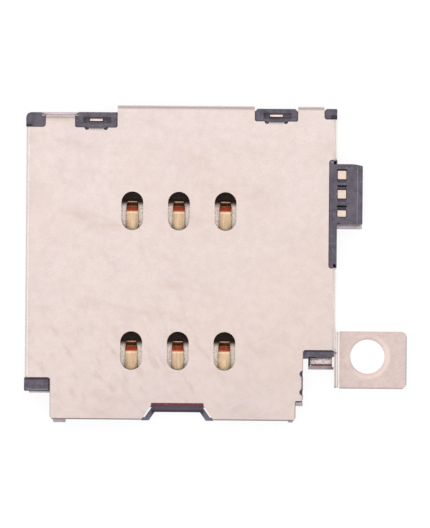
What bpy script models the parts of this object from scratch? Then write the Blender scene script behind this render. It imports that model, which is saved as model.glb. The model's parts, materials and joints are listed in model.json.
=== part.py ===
# Sim card socket: a folded metal cover over a moulded housing, a stamped plate below,
# six contact springs and a small card-detect switch on the right side.
#
# The frame is the socket's own: the origin lies under the middle of the contact field, on the
# face that meets the board. +Z goes up through the cover, +Y goes the way the card goes in,
# and the mouth is on the -Y side.

import math

import bmesh
import bpy
from mathutils import Matrix

MM = 0.001

# The shortest edge kept, then the clearances
WELD = 0.001 * MM
SEAT = 0.02 * MM
SLACK = 0.05 * MM

# Card and contact field
CARD_THICK = 0.76 * MM
CARD_ROOM = 0.11 * MM
CHANNEL_HALF = 6.06 * MM
CARD_KEY = 2.4 * MM
COLUMN_PITCH = 2.54 * MM
ROW_SPACING = 7.62 * MM
WINDOW_WIDE = 1.19 * MM
WINDOW_LONG = 2.11 * MM

# The cover, counted from the sides of the card channel and from the contact rows
LEFT_RAIL_WIDE = 2.27 * MM
RIGHT_RAIL_WIDE = 2.54 * MM
FRONT_WEB = 0.50 * MM
REAR_REACH = 9.56 * MM

# Sheet metal
COVER_SHEET = 0.15 * MM
PLATE_SHEET = 0.15 * MM
BEND_INSIDE = 0.10 * MM
FLOOR_THICK = 0.28 * MM

# Cuts in the cover's left edge
LEFT_CUT_RAIL = 0.90 * MM
LEFT_CUT_LONG = 2.27 * MM
LEFT_CUT_FILL = 0.745 * MM
LEFT_CORNER_WIDE = 1.04 * MM
LEFT_CORNER_DEEP = 1.22 * MM
LEFT_FOLD_SETBACK = 0.57 * MM

# Rear blocks: the cover is cut back round them
LEFT_BLOCK_X = -4.54 * MM
LEFT_BLOCK_WIDE = 2.32 * MM
LEFT_BLOCK_DEEP = 1.23 * MM
LEFT_BLOCK_LONG = 0.84 * MM
RIGHT_BLOCK_X = 5.275 * MM
RIGHT_BLOCK_WIDE = 2.37 * MM
RIGHT_BLOCK_DEEP = 0.82 * MM
RIGHT_BLOCK_LONG = 0.69 * MM
LATCH_WIDE = 0.74 * MM
LATCH_SETBACK = 0.24 * MM
RELIEF_RADIUS = 0.14 * MM

# Cuts in the cover's right edge
RIGHT_CORNER_WIDE = 0.71 * MM
RIGHT_CORNER_DEEP = 0.69 * MM
COLUMN_CUT_WIDE = 0.43 * MM
COLUMN_CUT_START = 0.75 * MM
COLUMN_CUT_TAIL = 0.23 * MM
COLUMN_CORNER = 0.16 * MM
HOLLOW_WIDE = 0.14 * MM
HOLLOW_LONG = 0.17 * MM
HOLLOW_DEEP = 0.60 * MM
RIGHT_CUT_RAIL = 0.78 * MM
RIGHT_CUT_LONG = 2.78 * MM
RIGHT_BAR_LONG = 0.48 * MM
BAR_HEEL_LONG = 0.10 * MM
BAR_HEEL_WIDE = 0.29 * MM
FOOT_PAD_LONG = 0.44 * MM
FOOT_STRIP_END = 0.25 * MM
FOOT_STEP_WIDE = 0.32 * MM
FOOT_HIGH = 0.12 * MM
RIGHT_STEP_RAIL = 0.385 * MM
RIGHT_STEP_LONG = 1.095 * MM
EDGE_TAB_FROM_STEP = 0.97 * MM
EDGE_TAB_WIDE = 0.71 * MM

# Mouth
NOTCH_INNER_HALF = 1.40 * MM
NOTCH_OUTER_HALF = 1.98 * MM
NOTCH_DEEP = 0.83 * MM
SILL_INNER_HALF = 1.24 * MM
SILL_OUTER_HALF = 1.55 * MM
SILL_DEEP = 0.415 * MM
SLIT_WIDE = 0.11 * MM
SLIT_START = 0.155 * MM
SLIT_END = 0.70 * MM

# Screw ear
EAR_LONG = 3.90 * MM
EAR_FROM_CUT = 0.535 * MM
EAR_WIDE = 3.13 * MM
EAR_CORNER = 0.30 * MM
EAR_WALL_TOP = 1.05 * MM
EAR_JOGGLE = 0.09 * MM
HOLE_FROM_END = 2.14 * MM
HOLE_OFF_MIDDLE = 0.19 * MM
HOLE_RADIUS = 0.935 * MM
HOLE_RIM = 0.20 * MM
HOLE_RIM_DEEP = 0.06 * MM

# Switch block
BLOCK_WIDE = 1.39 * MM
BLOCK_SETBACK = 2.42 * MM
BLOCK_LONG = 3.28 * MM
BLOCK_ABOVE = 0.07 * MM
BLOCK_SLOPE = 0.28 * MM
PAD_WIDE = 0.47 * MM
PAD_PITCH = 1.05 * MM
PAD_LONG = 0.46 * MM
LAST_PAD_LONG = 0.35 * MM
PAD_THICK = 0.12 * MM
FIRST_PAD_FROM_END = 0.595 * MM
PAD_ROOM = 0.03 * MM
LEDGE_LONG = 0.185 * MM
LEDGE_DEEP = 0.15 * MM
PAD_GAP = 0.08 * MM
NOSE_FROM_PAD = 2.68 * MM
ARM_FROM_PAD = 3.255 * MM
NOSE_STANDS_IN = 0.09 * MM
ROOM_WALL = 0.29 * MM
LEAF_SHEET = 0.10 * MM
LEAF_TALL = 0.45 * MM

# Contact springs
CONTACT_SHEET = 0.12 * MM
CONTACT_TIP_WIDE = 0.65 * MM
CONTACT_ROOT_WIDE = 0.80 * MM
CONTACT_EAR_WIDE = 1.46 * MM
SPRING_ROOM_HALF = 0.60 * MM
SPRING_ROOM_END = 0.63 * MM
CONTACT_RISE = 0.57 * MM
CONTACT_REACH = 2.12 * MM
CONTACT_TIP = 0.58 * MM
FOOT_LONG = 0.35 * MM
FOOT_ROOM = 0.38 * MM
EAR_PIVOT_HIGH = 0.31 * MM

# Levels worked out from the sizes above
FLOOR_UNDER = PLATE_SHEET + SEAT
FLOOR_TOP = FLOOR_UNDER + FLOOR_THICK
COVER_UNDER = FLOOR_TOP + CARD_THICK + CARD_ROOM
COVER_TOP = COVER_UNDER + COVER_SHEET
WALL_TOP = COVER_UNDER - SEAT
BLOCK_TOP = COVER_TOP - BLOCK_ABOVE
BEND = BEND_INSIDE + COVER_SHEET
TAB_BEND = 0.05 * MM + COVER_SHEET

# Places worked out from the sizes above
X_LEFT = -CHANNEL_HALF - LEFT_RAIL_WIDE
X_RIGHT = CHANNEL_HALF + RIGHT_RAIL_WIDE
FOOT_END = ROW_SPACING / 2 + CONTACT_REACH + FOOT_LONG + FOOT_ROOM
Y_MOUTH = -FOOT_END - FRONT_WEB - SILL_DEEP
Y_REAR = REAR_REACH
LEFT_CUT_X = -CHANNEL_HALF - LEFT_CUT_RAIL
LEFT_CUT_Y = Y_MOUTH + LEFT_CUT_LONG
LEFT_CORNER_X = X_LEFT + LEFT_CORNER_WIDE
LEFT_CORNER_Y = Y_REAR - LEFT_CORNER_DEEP
LEFT_FOLD_Y = Y_REAR - LEFT_FOLD_SETBACK
LEFT_BLOCK_X0 = LEFT_BLOCK_X - LEFT_BLOCK_WIDE / 2
LEFT_BLOCK_X1 = LEFT_BLOCK_X + LEFT_BLOCK_WIDE / 2
LEFT_BLOCK_Y = Y_REAR - LEFT_BLOCK_DEEP
RIGHT_BLOCK_X0 = RIGHT_BLOCK_X - RIGHT_BLOCK_WIDE / 2
RIGHT_BLOCK_X1 = RIGHT_BLOCK_X + RIGHT_BLOCK_WIDE / 2
RIGHT_BLOCK_Y = Y_REAR - RIGHT_BLOCK_DEEP
RIGHT_CORNER_X = X_RIGHT - RIGHT_CORNER_WIDE
RIGHT_CORNER_Y = Y_REAR - RIGHT_CORNER_DEEP
COLUMN_X = X_RIGHT - COLUMN_CUT_WIDE
COLUMN_Y0 = COLUMN_CUT_START
BLOCK_START = COLUMN_Y0 + BLOCK_SETBACK
BLOCK_END = BLOCK_START + BLOCK_LONG
COLUMN_Y1 = BLOCK_END + COLUMN_CUT_TAIL
RIGHT_CUT_X = CHANNEL_HALF + RIGHT_CUT_RAIL
RIGHT_STEP_X = CHANNEL_HALF + RIGHT_STEP_RAIL
RIGHT_STEP_Y = Y_MOUTH + RIGHT_STEP_LONG
RIGHT_CUT_Y = RIGHT_STEP_Y + RIGHT_CUT_LONG
BAR_EDGE = RIGHT_CUT_Y - RIGHT_BAR_LONG + BAR_HEEL_LONG
FOOT_PAD_END = BAR_EDGE - FOOT_PAD_LONG
FOOT_STRIP_Y = FOOT_PAD_END - FOOT_STRIP_END
EDGE_TAB_Y = RIGHT_STEP_Y + EDGE_TAB_FROM_STEP
EAR_Y = RIGHT_CUT_Y - EAR_FROM_CUT
EAR_REACH = X_RIGHT + EAR_LONG
HOLE_X = EAR_REACH - HOLE_FROM_END
HOLE_Y = EAR_Y + HOLE_OFF_MIDDLE
NOTCH_Y = Y_MOUTH + NOTCH_DEEP
SILL_Y = Y_MOUTH + SILL_DEEP
WALL_GAP = SEAT + BEND_INSIDE - math.sqrt(2 * BEND_INSIDE * SEAT - SEAT * SEAT)
IN_LEFT = X_LEFT + COVER_SHEET + WALL_GAP
IN_RIGHT = X_RIGHT - COVER_SHEET - WALL_GAP
IN_REAR = Y_REAR - COVER_SHEET - WALL_GAP
CHANNEL_REAR = LEFT_BLOCK_Y - 0.16 * MM
COLUMN_OUT = X_RIGHT + SEAT
BLOCK_REACH = COLUMN_OUT + BLOCK_WIDE
FIRST_PAD_Y = BLOCK_END - FIRST_PAD_FROM_END
NOSE_Y = FIRST_PAD_Y - NOSE_FROM_PAD
ARM_END_Y = FIRST_PAD_Y - ARM_FROM_PAD
ROOM_X0 = CHANNEL_HALF + ROOM_WALL
ROOM_X1 = COLUMN_X - 0.52 * MM
LATCH_Y_LEFT = LEFT_BLOCK_Y + LATCH_SETBACK + PLATE_SHEET / 2 + 0.10 * MM
LATCH_Y_RIGHT = RIGHT_BLOCK_Y + LATCH_SETBACK + PLATE_SHEET / 2
LATCH_TOP = BLOCK_TOP - 0.14 * MM
LATCH_FLAT = BEND_INSIDE + PLATE_SHEET / 2
UPSTAND_Y = LEFT_FOLD_Y + SEAT + PLATE_SHEET
UPSTAND_BEND = 0.05 * MM
PAD_X0 = COLUMN_OUT + SEAT
PAD_X1 = PAD_X0 + PAD_WIDE
PAD_TOP = BLOCK_TOP - 0.05 * MM
PAD_PIVOT_X = (PAD_X0 + PAD_X1) / 2

ARC_STEPS = 8
SHORTEST_CHORD = 0.035 * MM


def new_collection(name):
    """Make a collection in the scene."""
    made = bpy.data.collections.new(name)
    bpy.context.scene.collection.children.link(made)
    return made


def material(name, colour, metallic, roughness):
    """A plain Principled material."""
    made = bpy.data.materials.new(name)
    made.use_nodes = True
    shader = made.node_tree.nodes["Principled BSDF"]
    shader.inputs["Base Color"].default_value = (*colour, 1.0)
    shader.inputs["Metallic"].default_value = metallic
    shader.inputs["Roughness"].default_value = roughness
    return made


def arc(centre, radius, start, end, steps=ARC_STEPS):
    """Points along an arc, with both ends, angles in degrees."""
    points = []
    for step in range(steps + 1):
        angle = math.radians(start + (end - start) * step / steps)
        points.append((centre[0] + radius * math.cos(angle), centre[1] + radius * math.sin(angle)))
    return points


def rounded(corners):
    """Turn corners (x, y, radius) into outline points, with an arc at each rounded corner."""
    points = []
    count = len(corners)
    for index, corner in enumerate(corners):
        x, y = corner[0], corner[1]
        radius = corner[2] if len(corner) > 2 else 0.0
        if radius <= 0.0:
            points.append((x, y))
            continue
        before = corners[index - 1]
        after = corners[(index + 1) % count]
        to_before = math.atan2(before[1] - y, before[0] - x)
        to_after = math.atan2(after[1] - y, after[0] - x)
        turn = (to_after - to_before + math.pi) % (2 * math.pi) - math.pi
        reach = radius / math.tan(abs(turn) / 2)
        away = radius / math.sin(abs(turn) / 2)
        middle = to_before + turn / 2
        centre = (x + away * math.cos(middle), y + away * math.sin(middle))
        first = (x + reach * math.cos(to_before), y + reach * math.sin(to_before))
        last = (x + reach * math.cos(to_after), y + reach * math.sin(to_after))
        start = math.atan2(first[1] - centre[1], first[0] - centre[0])
        end = math.atan2(last[1] - centre[1], last[0] - centre[0])
        sweep = (end - start + math.pi) % (2 * math.pi) - math.pi
        steps = min(ARC_STEPS, max(1, int(radius * abs(sweep) / SHORTEST_CHORD)))
        for step in range(steps + 1):
            angle = start + sweep * step / steps
            points.append((centre[0] + radius * math.cos(angle),
                           centre[1] + radius * math.sin(angle)))
    return points


def rectangle(x0, x1, y0, y1, radius=0.0):
    """Corners of a rectangle, all with the same radius."""
    return [(x0, y0, radius), (x1, y0, radius), (x1, y1, radius), (x0, y1, radius)]


def solid_from_outline(name, outlines, low, high, turn=None):
    """Extrude flat outlines from low to high along their own Z and return a closed mesh object."""
    curve = bpy.data.curves.new(name, "CURVE")
    curve.dimensions = "2D"
    curve.fill_mode = "BOTH"
    curve.extrude = (high - low) / 2
    for outline in outlines:
        spline = curve.splines.new("POLY")
        spline.points.add(len(outline) - 1)
        for point, place in zip(spline.points, outline):
            point.co = (place[0], place[1], 0.0, 1.0)
        spline.use_cyclic_u = True
    guide = bpy.data.objects.new(name + "_guide", curve)
    bpy.context.scene.collection.objects.link(guide)
    bpy.context.view_layer.update()
    mesh = bpy.data.meshes.new_from_object(guide.evaluated_get(
        bpy.context.evaluated_depsgraph_get()))
    bpy.data.objects.remove(guide)
    bpy.data.curves.remove(curve)
    place = Matrix.Translation((0.0, 0.0, (low + high) / 2))
    if turn is not None:
        place = turn @ place
    mesh.transform(place)
    weld_and_face_out(mesh)
    made = bpy.data.objects.new(name, mesh)
    bpy.context.scene.collection.objects.link(made)
    return made


def weld_and_face_out(mesh):
    """Join the loose caps to the sides and make every face look outwards."""
    work = bmesh.new()
    work.from_mesh(mesh)
    bmesh.ops.remove_doubles(work, verts=work.verts, dist=1e-7)
    bmesh.ops.recalc_face_normals(work, faces=work.faces)
    work.to_mesh(mesh)
    work.free()


def slab(name, corners, low, high, holes=()):
    """A level plate from a plan outline, with holes."""
    outlines = [rounded(corners)] + [rounded(hole) for hole in holes]
    return solid_from_outline(name, outlines, low, high)


def along_x(name, profile, start, end):
    """A profile drawn in Y and Z, extruded along X."""
    turn = Matrix(((0, 0, 1, 0), (1, 0, 0, 0), (0, 1, 0, 0), (0, 0, 0, 1)))
    return solid_from_outline(name, [profile], start, end, turn)


def along_y(name, profile, start, end):
    """A profile drawn in X and Z, extruded along Y."""
    turn = Matrix(((1, 0, 0, 0), (0, 0, 1, 0), (0, 1, 0, 0), (0, 0, 0, 1)))
    return solid_from_outline(name, [profile], start, end, turn)


def block(name, x0, x1, y0, y1, low, high):
    """A plain box between two corners."""
    bpy.ops.mesh.primitive_cube_add(size=1.0)
    made = bpy.context.active_object
    made.name = name
    size = Matrix.Diagonal((x1 - x0, y1 - y0, high - low, 1.0))
    middle = Matrix.Translation(((x0 + x1) / 2, (y0 + y1) / 2, (low + high) / 2))
    made.data.transform(middle @ size)
    return made


def combine(target, tools, operation):
    """Join solids to the target or cut them out of it, one after another.

    The fill of an outline leaves flat triangles where its points lie in one line. The exact
    solver opens the solid there, and the manifold solver keeps it closed."""
    for tool in tools:
        modifier = target.modifiers.new("shape", "BOOLEAN")
        modifier.operation = operation
        modifier.solver = "MANIFOLD"
        modifier.object = tool
        bpy.context.view_layer.update()
        shaped = bpy.data.meshes.new_from_object(target.evaluated_get(
            bpy.context.evaluated_depsgraph_get()))
        target.modifiers.clear()
        target.data = shaped
        bpy.data.objects.remove(tool)
    return target


def join(target, tools):
    """Boolean union."""
    return combine(target, tools, "UNION")


def cut(target, tools):
    """Boolean difference."""
    return combine(target, tools, "DIFFERENCE")


def finish(made, name, look, collection):
    """Name a part, weld its seams, dissolve leftovers, give it its material and file it."""
    work = bmesh.new()
    work.from_mesh(made.data)
    bmesh.ops.remove_doubles(work, verts=work.verts, dist=WELD)
    bmesh.ops.dissolve_limit(work, angle_limit=math.radians(0.5), verts=work.verts,
                             edges=work.edges)
    bmesh.ops.triangulate(work, faces=work.faces)
    work.to_mesh(made.data)
    work.free()
    made.name = name
    made.data.name = name
    made.data.materials.clear()
    made.data.materials.append(look)
    made.data.shade_smooth()
    made.data.set_sharp_from_angle(angle=math.radians(30))
    for old in list(made.users_collection):
        old.objects.unlink(made)
    collection.objects.link(made)
    return made


def fold_profile(edge, inward, top, bottom, sheet, inside, lap):
    """Section of a sheet that comes level from inside, bends down at edge and ends at bottom.

    inward is +1 or -1: the side of the edge on which the level sheet lies."""
    outside = inside + sheet
    hub = (edge + inward * outside, top - outside)
    outer = []
    inner = []
    for step in range(ARC_STEPS + 1):
        angle = math.radians(90 * step / ARC_STEPS)
        away = (-inward * math.sin(angle), math.cos(angle))
        outer.append((hub[0] + outside * away[0], hub[1] + outside * away[1]))
        inner.append((hub[0] + inside * away[0], hub[1] + inside * away[1]))
    start = edge + inward * (outside + lap)
    points = [(start, top)] + outer
    points += [(edge, bottom), (edge + inward * sheet, bottom)]
    points += list(reversed(inner)) + [(start, top - sheet)]
    return points


def cover_flat():
    """Plan outline of the cover's level sheet, up to where its edges start to bend."""
    left = X_LEFT + BEND
    right = X_RIGHT - BEND
    rear = Y_REAR - BEND
    return [
        (left, LEFT_CUT_Y),
        (LEFT_CUT_X, LEFT_CUT_Y, 0.13 * MM),
        (LEFT_CUT_X, Y_MOUTH, 0.18 * MM),
        (-NOTCH_OUTER_HALF, Y_MOUTH),
        (-NOTCH_INNER_HALF, NOTCH_Y, 0.10 * MM),
        (NOTCH_INNER_HALF, NOTCH_Y, 0.10 * MM),
        (NOTCH_OUTER_HALF, Y_MOUTH),
        (RIGHT_STEP_X, Y_MOUTH, 0.20 * MM),
        (RIGHT_STEP_X, RIGHT_STEP_Y),
        (RIGHT_CUT_X, RIGHT_STEP_Y, 0.12 * MM),
        (RIGHT_CUT_X, RIGHT_CUT_Y, 0.12 * MM),
        (right, RIGHT_CUT_Y),
        (right, COLUMN_Y0),
        (COLUMN_X, COLUMN_Y0, COLUMN_CORNER),
        (COLUMN_X, COLUMN_Y1, COLUMN_CORNER),
        (right, COLUMN_Y1),
        (right, RIGHT_CORNER_Y),
        (RIGHT_CORNER_X, RIGHT_CORNER_Y, 0.15 * MM),
        (RIGHT_CORNER_X, rear),
        (RIGHT_BLOCK_X1, rear),
        (RIGHT_BLOCK_X1, RIGHT_BLOCK_Y, 0.10 * MM),
        (RIGHT_BLOCK_X0, RIGHT_BLOCK_Y, 0.10 * MM),
        (RIGHT_BLOCK_X0, rear),
        (LEFT_BLOCK_X1, rear),
        (LEFT_BLOCK_X1, LEFT_BLOCK_Y, 0.10 * MM),
        (LEFT_BLOCK_X0, LEFT_BLOCK_Y, 0.10 * MM),
        (LEFT_BLOCK_X0, LEFT_FOLD_Y - BEND),
        (LEFT_CORNER_X, LEFT_FOLD_Y - BEND),
        (LEFT_CORNER_X, LEFT_CORNER_Y, 0.18 * MM),
        (left, LEFT_CORNER_Y),
    ]


def contact_places():
    """Name and middle of each window, columns from left to right, rear row first."""
    names = (("contact_c1", "contact_c2", "contact_c3"), ("contact_c5", "contact_c6", "contact_c7"))
    places = []
    for row, row_names in enumerate(names):
        for column, name in enumerate(row_names):
            x = (column - 1) * COLUMN_PITCH
            y = (0.5 - row) * ROW_SPACING
            places.append((name, x, y))
    return places


def window_outline(x, y):
    """A slot with round ends, long along Y."""
    half = WINDOW_WIDE / 2
    straight = WINDOW_LONG / 2 - half
    steps = ARC_STEPS + 4
    return (arc((x, y + straight), half, 0, 180, steps)
            + arc((x, y - straight), half, 180, 360, steps))


def relief_cutters(across, tab_middle, edge, low, high):
    """The two round relief notches at the ends of a locking tab, along X or along Y."""
    cutters = []
    for side in (-1, 1):
        along = tab_middle + side * (LATCH_WIDE / 2 + RELIEF_RADIUS)
        if across == "x":
            centre = (along, edge)
        else:
            centre = (edge, along)
        outline = arc(centre, RELIEF_RADIUS, 0, 324, 9)
        cutters.append(solid_from_outline("relief", [outline], low, high))
    return cutters


def ear_section():
    """Section of the ear's wall, its outward bend and the level ear, in X and Z."""
    outer_x = X_RIGHT + EAR_JOGGLE
    inner_x = outer_x - COVER_SHEET
    inside = 0.15 * MM
    outside = inside + COVER_SHEET
    hub = (outer_x + inside, COVER_SHEET + inside)
    under = arc(hub, outside, 180, 270)
    above = arc(hub, inside, 270, 180)
    flat = hub[0] + 0.10 * MM
    return ([(inner_x, EAR_WALL_TOP)] + under + [(flat, 0.0), (flat, COVER_SHEET)]
            + above + [(outer_x, EAR_WALL_TOP)])


def make_cover(look, collection):
    """The folded cover: level sheet, side and rear folds, locking tabs and the screw ear."""
    outlines = [rounded(cover_flat())]
    for _, x, y in contact_places():
        outlines.append(window_outline(x, y))
    cover = solid_from_outline("cover_shell", outlines, COVER_UNDER, COVER_TOP)

    lap = 0.06 * MM
    skirt = PLATE_SHEET + SLACK
    left = fold_profile(X_LEFT, 1, COVER_TOP, skirt, COVER_SHEET, BEND_INSIDE, lap)
    right = fold_profile(X_RIGHT, -1, COVER_TOP, skirt, COVER_SHEET, BEND_INSIDE, lap)
    rear = fold_profile(Y_REAR, -1, COVER_TOP, skirt, COVER_SHEET, BEND_INSIDE, lap)
    rear_left = fold_profile(LEFT_FOLD_Y, -1, COVER_TOP, skirt + BEND_INSIDE, COVER_SHEET,
                             BEND_INSIDE, lap)
    folds = [
        along_y("left_wall", left, LEFT_CUT_Y, LEFT_CORNER_Y),
        along_y("right_wall_front", right, RIGHT_CUT_Y, COLUMN_Y0),
        along_y("right_wall_rear", right, COLUMN_Y1, RIGHT_CORNER_Y),
        along_x("rear_wall", rear, LEFT_BLOCK_X1, RIGHT_BLOCK_X0),
        along_x("rear_wall_right", rear, RIGHT_BLOCK_X1, RIGHT_CORNER_X),
        along_x("rear_wall_left", rear_left, LEFT_CORNER_X, LEFT_BLOCK_X0),
    ]
    join(cover, folds)

    for middle, edge in ((LEFT_BLOCK_X, LEFT_BLOCK_Y), (RIGHT_BLOCK_X, RIGHT_BLOCK_Y)):
        cut(cover, relief_cutters("x", middle, edge, COVER_UNDER - SLACK, COVER_TOP + SLACK))
        trim = block("tab_trim", middle - LATCH_WIDE / 2, middle + LATCH_WIDE / 2,
                     edge - TAB_BEND, edge + SLACK, COVER_UNDER - SLACK, COVER_TOP + SLACK)
        cut(cover, [trim])
        tab = fold_profile(edge, -1, COVER_TOP, FLOOR_TOP + 0.10 * MM, COVER_SHEET,
                           TAB_BEND - COVER_SHEET, lap)
        join(cover, [along_x("tab", tab, middle - LATCH_WIDE / 2, middle + LATCH_WIDE / 2)])

    cut(cover, relief_cutters("y", EDGE_TAB_Y, RIGHT_CUT_X, COVER_UNDER - SLACK, COVER_TOP + SLACK))
    trim = block("tab_trim", RIGHT_CUT_X - TAB_BEND, RIGHT_CUT_X + SLACK,
                 EDGE_TAB_Y - EDGE_TAB_WIDE / 2, EDGE_TAB_Y + EDGE_TAB_WIDE / 2,
                 COVER_UNDER - SLACK, COVER_TOP + SLACK)
    cut(cover, [trim])
    tab = fold_profile(RIGHT_CUT_X, -1, COVER_TOP, FLOOR_TOP + 0.10 * MM, COVER_SHEET,
                       TAB_BEND - COVER_SHEET, lap)
    join(cover, [along_y("tab", tab, EDGE_TAB_Y - EDGE_TAB_WIDE / 2,
                         EDGE_TAB_Y + EDGE_TAB_WIDE / 2)])

    ear_y0 = EAR_Y - EAR_WIDE / 2
    ear_y1 = EAR_Y + EAR_WIDE / 2
    wall = along_y("ear_wall", ear_section(), ear_y0 + 0.05 * MM, ear_y1 - 0.03 * MM)
    ear_x0 = X_RIGHT + EAR_JOGGLE + 0.15 * MM
    ear = slab("ear", [(ear_x0, ear_y0), (EAR_REACH, ear_y0, EAR_CORNER),
                       (EAR_REACH, ear_y1, EAR_CORNER), (ear_x0, ear_y1)], 0.0, COVER_SHEET)
    join(cover, [wall, ear])
    outline = arc((HOLE_X, HOLE_Y), HOLE_RADIUS, 0, 350, 35)
    hole = solid_from_outline("hole", [outline], -SLACK, COVER_SHEET + SLACK)
    bpy.ops.mesh.primitive_cone_add(vertices=36, radius1=HOLE_RADIUS,
                                    radius2=HOLE_RADIUS + 2 * HOLE_RIM,
                                    depth=2 * HOLE_RIM_DEEP,
                                    location=(HOLE_X, HOLE_Y, COVER_SHEET))
    rim = bpy.context.active_object
    cut(cover, [hole, rim])
    return finish(cover, "cover_shell", look, collection)


def plate_outline():
    """Plan outline of the bottom plate, inside the cover's walls, with its lips at the mouth."""
    left = X_LEFT + COVER_SHEET + 0.07 * MM
    right = X_RIGHT - COVER_SHEET - SEAT
    rear = Y_REAR - COVER_SHEET - SEAT
    cut_left_y = LEFT_CUT_Y - LEFT_CUT_FILL - 0.11 * MM
    lip_end = Y_MOUTH - 0.195 * MM
    front = Y_MOUTH + 0.30 * MM
    lip_inner = CHANNEL_HALF - 0.01 * MM
    lip_outer = -LEFT_CUT_X - 0.13 * MM
    return [
        (left, cut_left_y),
        (LEFT_CUT_X - 0.01 * MM, cut_left_y),
        (LEFT_CUT_X - 0.01 * MM, front),
        (-lip_outer - 0.02 * MM, front),
        (-lip_outer + 0.06 * MM, lip_end),
        (-lip_inner - 0.06 * MM, lip_end),
        (-lip_inner + 0.02 * MM, front),
        (-NOTCH_OUTER_HALF - 0.15 * MM, front),
        (-NOTCH_INNER_HALF - 0.15 * MM, NOTCH_Y - 0.10 * MM),
        (-SILL_INNER_HALF + 0.10 * MM, SILL_Y + 0.12 * MM),
        (SILL_INNER_HALF - 0.10 * MM, SILL_Y + 0.12 * MM),
        (NOTCH_INNER_HALF + 0.15 * MM, NOTCH_Y - 0.10 * MM),
        (NOTCH_OUTER_HALF + 0.15 * MM, front),
        (lip_inner - 0.02 * MM, front),
        (lip_inner, Y_MOUTH - 0.105 * MM),
        (lip_inner + 0.26 * MM, Y_MOUTH - 0.105 * MM),
        (lip_inner + 0.28 * MM, front),
        (RIGHT_STEP_X - 0.02 * MM, front),
        (RIGHT_STEP_X - 0.02 * MM, RIGHT_STEP_Y - 0.30 * MM),
        (RIGHT_CUT_X + 0.01 * MM, RIGHT_STEP_Y - 0.30 * MM, 0.06 * MM),
        (RIGHT_CUT_X + 0.01 * MM, RIGHT_STEP_Y - 0.11 * MM),
        (RIGHT_CUT_X - 0.02 * MM, RIGHT_STEP_Y - 0.11 * MM),
        (RIGHT_CUT_X - 0.02 * MM, BAR_EDGE),
        (RIGHT_CUT_X + BAR_HEEL_WIDE, BAR_EDGE),
        (RIGHT_CUT_X + BAR_HEEL_WIDE, FOOT_STRIP_Y),
        (right + 0.08 * MM, FOOT_STRIP_Y),
        (right + 0.08 * MM, FOOT_STRIP_Y + 0.15 * MM),
        (right, FOOT_STRIP_Y + 0.15 * MM),
        (right, BLOCK_START - 0.26 * MM),
        (BLOCK_REACH - 0.01 * MM, BLOCK_START - 0.26 * MM),
        (BLOCK_REACH - 0.01 * MM, BLOCK_END - 0.08 * MM),
        (right, BLOCK_END - 0.08 * MM),
        (right, RIGHT_CORNER_Y),
        (RIGHT_CORNER_X, RIGHT_CORNER_Y),
        (RIGHT_CORNER_X, rear),
        (RIGHT_BLOCK_X1, rear),
        (RIGHT_BLOCK_X1, LATCH_Y_RIGHT - LATCH_FLAT),
        (RIGHT_BLOCK_X0, LATCH_Y_RIGHT - LATCH_FLAT),
        (RIGHT_BLOCK_X0, rear),
        (LEFT_BLOCK_X1, rear),
        (LEFT_BLOCK_X1, LATCH_Y_LEFT - LATCH_FLAT),
        (LEFT_BLOCK_X0 + 0.18 * MM, LATCH_Y_LEFT - LATCH_FLAT),
        (LEFT_BLOCK_X0 + 0.18 * MM, UPSTAND_Y - UPSTAND_BEND - PLATE_SHEET),
        (LEFT_CORNER_X - 0.21 * MM, UPSTAND_Y - UPSTAND_BEND - PLATE_SHEET),
        (LEFT_CORNER_X - 0.21 * MM, LEFT_CORNER_Y),
        (left, LEFT_CORNER_Y),
    ]


def upstand(name, along_start, along_end, edge, top, inside):
    """A strip of the bottom plate folded up, with its outer face at y = edge."""
    down = fold_profile(edge, -1, 0.0, -top, PLATE_SHEET, inside, 0.06 * MM)
    profile = [(y, -z) for y, z in reversed(down)]
    return along_x(name, profile, along_start, along_end)


def make_plate(look, collection):
    """The stamped bottom plate with its locking tabs, upstand, lips and foot."""
    holes = []
    for _, x, y in contact_places():
        root = y - CONTACT_REACH
        holes.append(rectangle(x - 0.55 * MM, x + 0.55 * MM, root - FOOT_LONG - FOOT_ROOM,
                               root - 0.05 * MM, 0.08 * MM))
    plate = slab("bottom_plate", plate_outline(), 0.0, PLATE_SHEET, holes)
    pad_x0 = RIGHT_CUT_X + BAR_HEEL_WIDE + 0.11 * MM
    pad_x1 = X_RIGHT - COVER_SHEET - 0.03 * MM
    heel = BAR_EDGE - BAR_HEEL_LONG - SEAT
    pad = slab("foot_pad", [(pad_x0, FOOT_PAD_END), (pad_x1, FOOT_PAD_END),
                            (pad_x1, BAR_EDGE - SEAT), (pad_x0 + FOOT_STEP_WIDE, BAR_EDGE - SEAT),
                            (pad_x0 + FOOT_STEP_WIDE, heel), (pad_x0, heel)],
               PLATE_SHEET / 3, PLATE_SHEET + FOOT_HIGH)
    half = LATCH_WIDE / 2
    join(plate, [
        pad,
        upstand("latch", LEFT_BLOCK_X - half, LEFT_BLOCK_X + half,
                LATCH_Y_LEFT + PLATE_SHEET / 2, LATCH_TOP, BEND_INSIDE),
        upstand("latch", RIGHT_BLOCK_X - half, RIGHT_BLOCK_X + half,
                LATCH_Y_RIGHT + PLATE_SHEET / 2, LATCH_TOP, BEND_INSIDE),
        upstand("upstand", LEFT_CORNER_X - 0.21 * MM, LEFT_BLOCK_X0 + 0.18 * MM,
                UPSTAND_Y, WALL_TOP - 0.25 * MM, UPSTAND_BEND),
    ])
    return finish(plate, "bottom_plate", look, collection)


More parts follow.
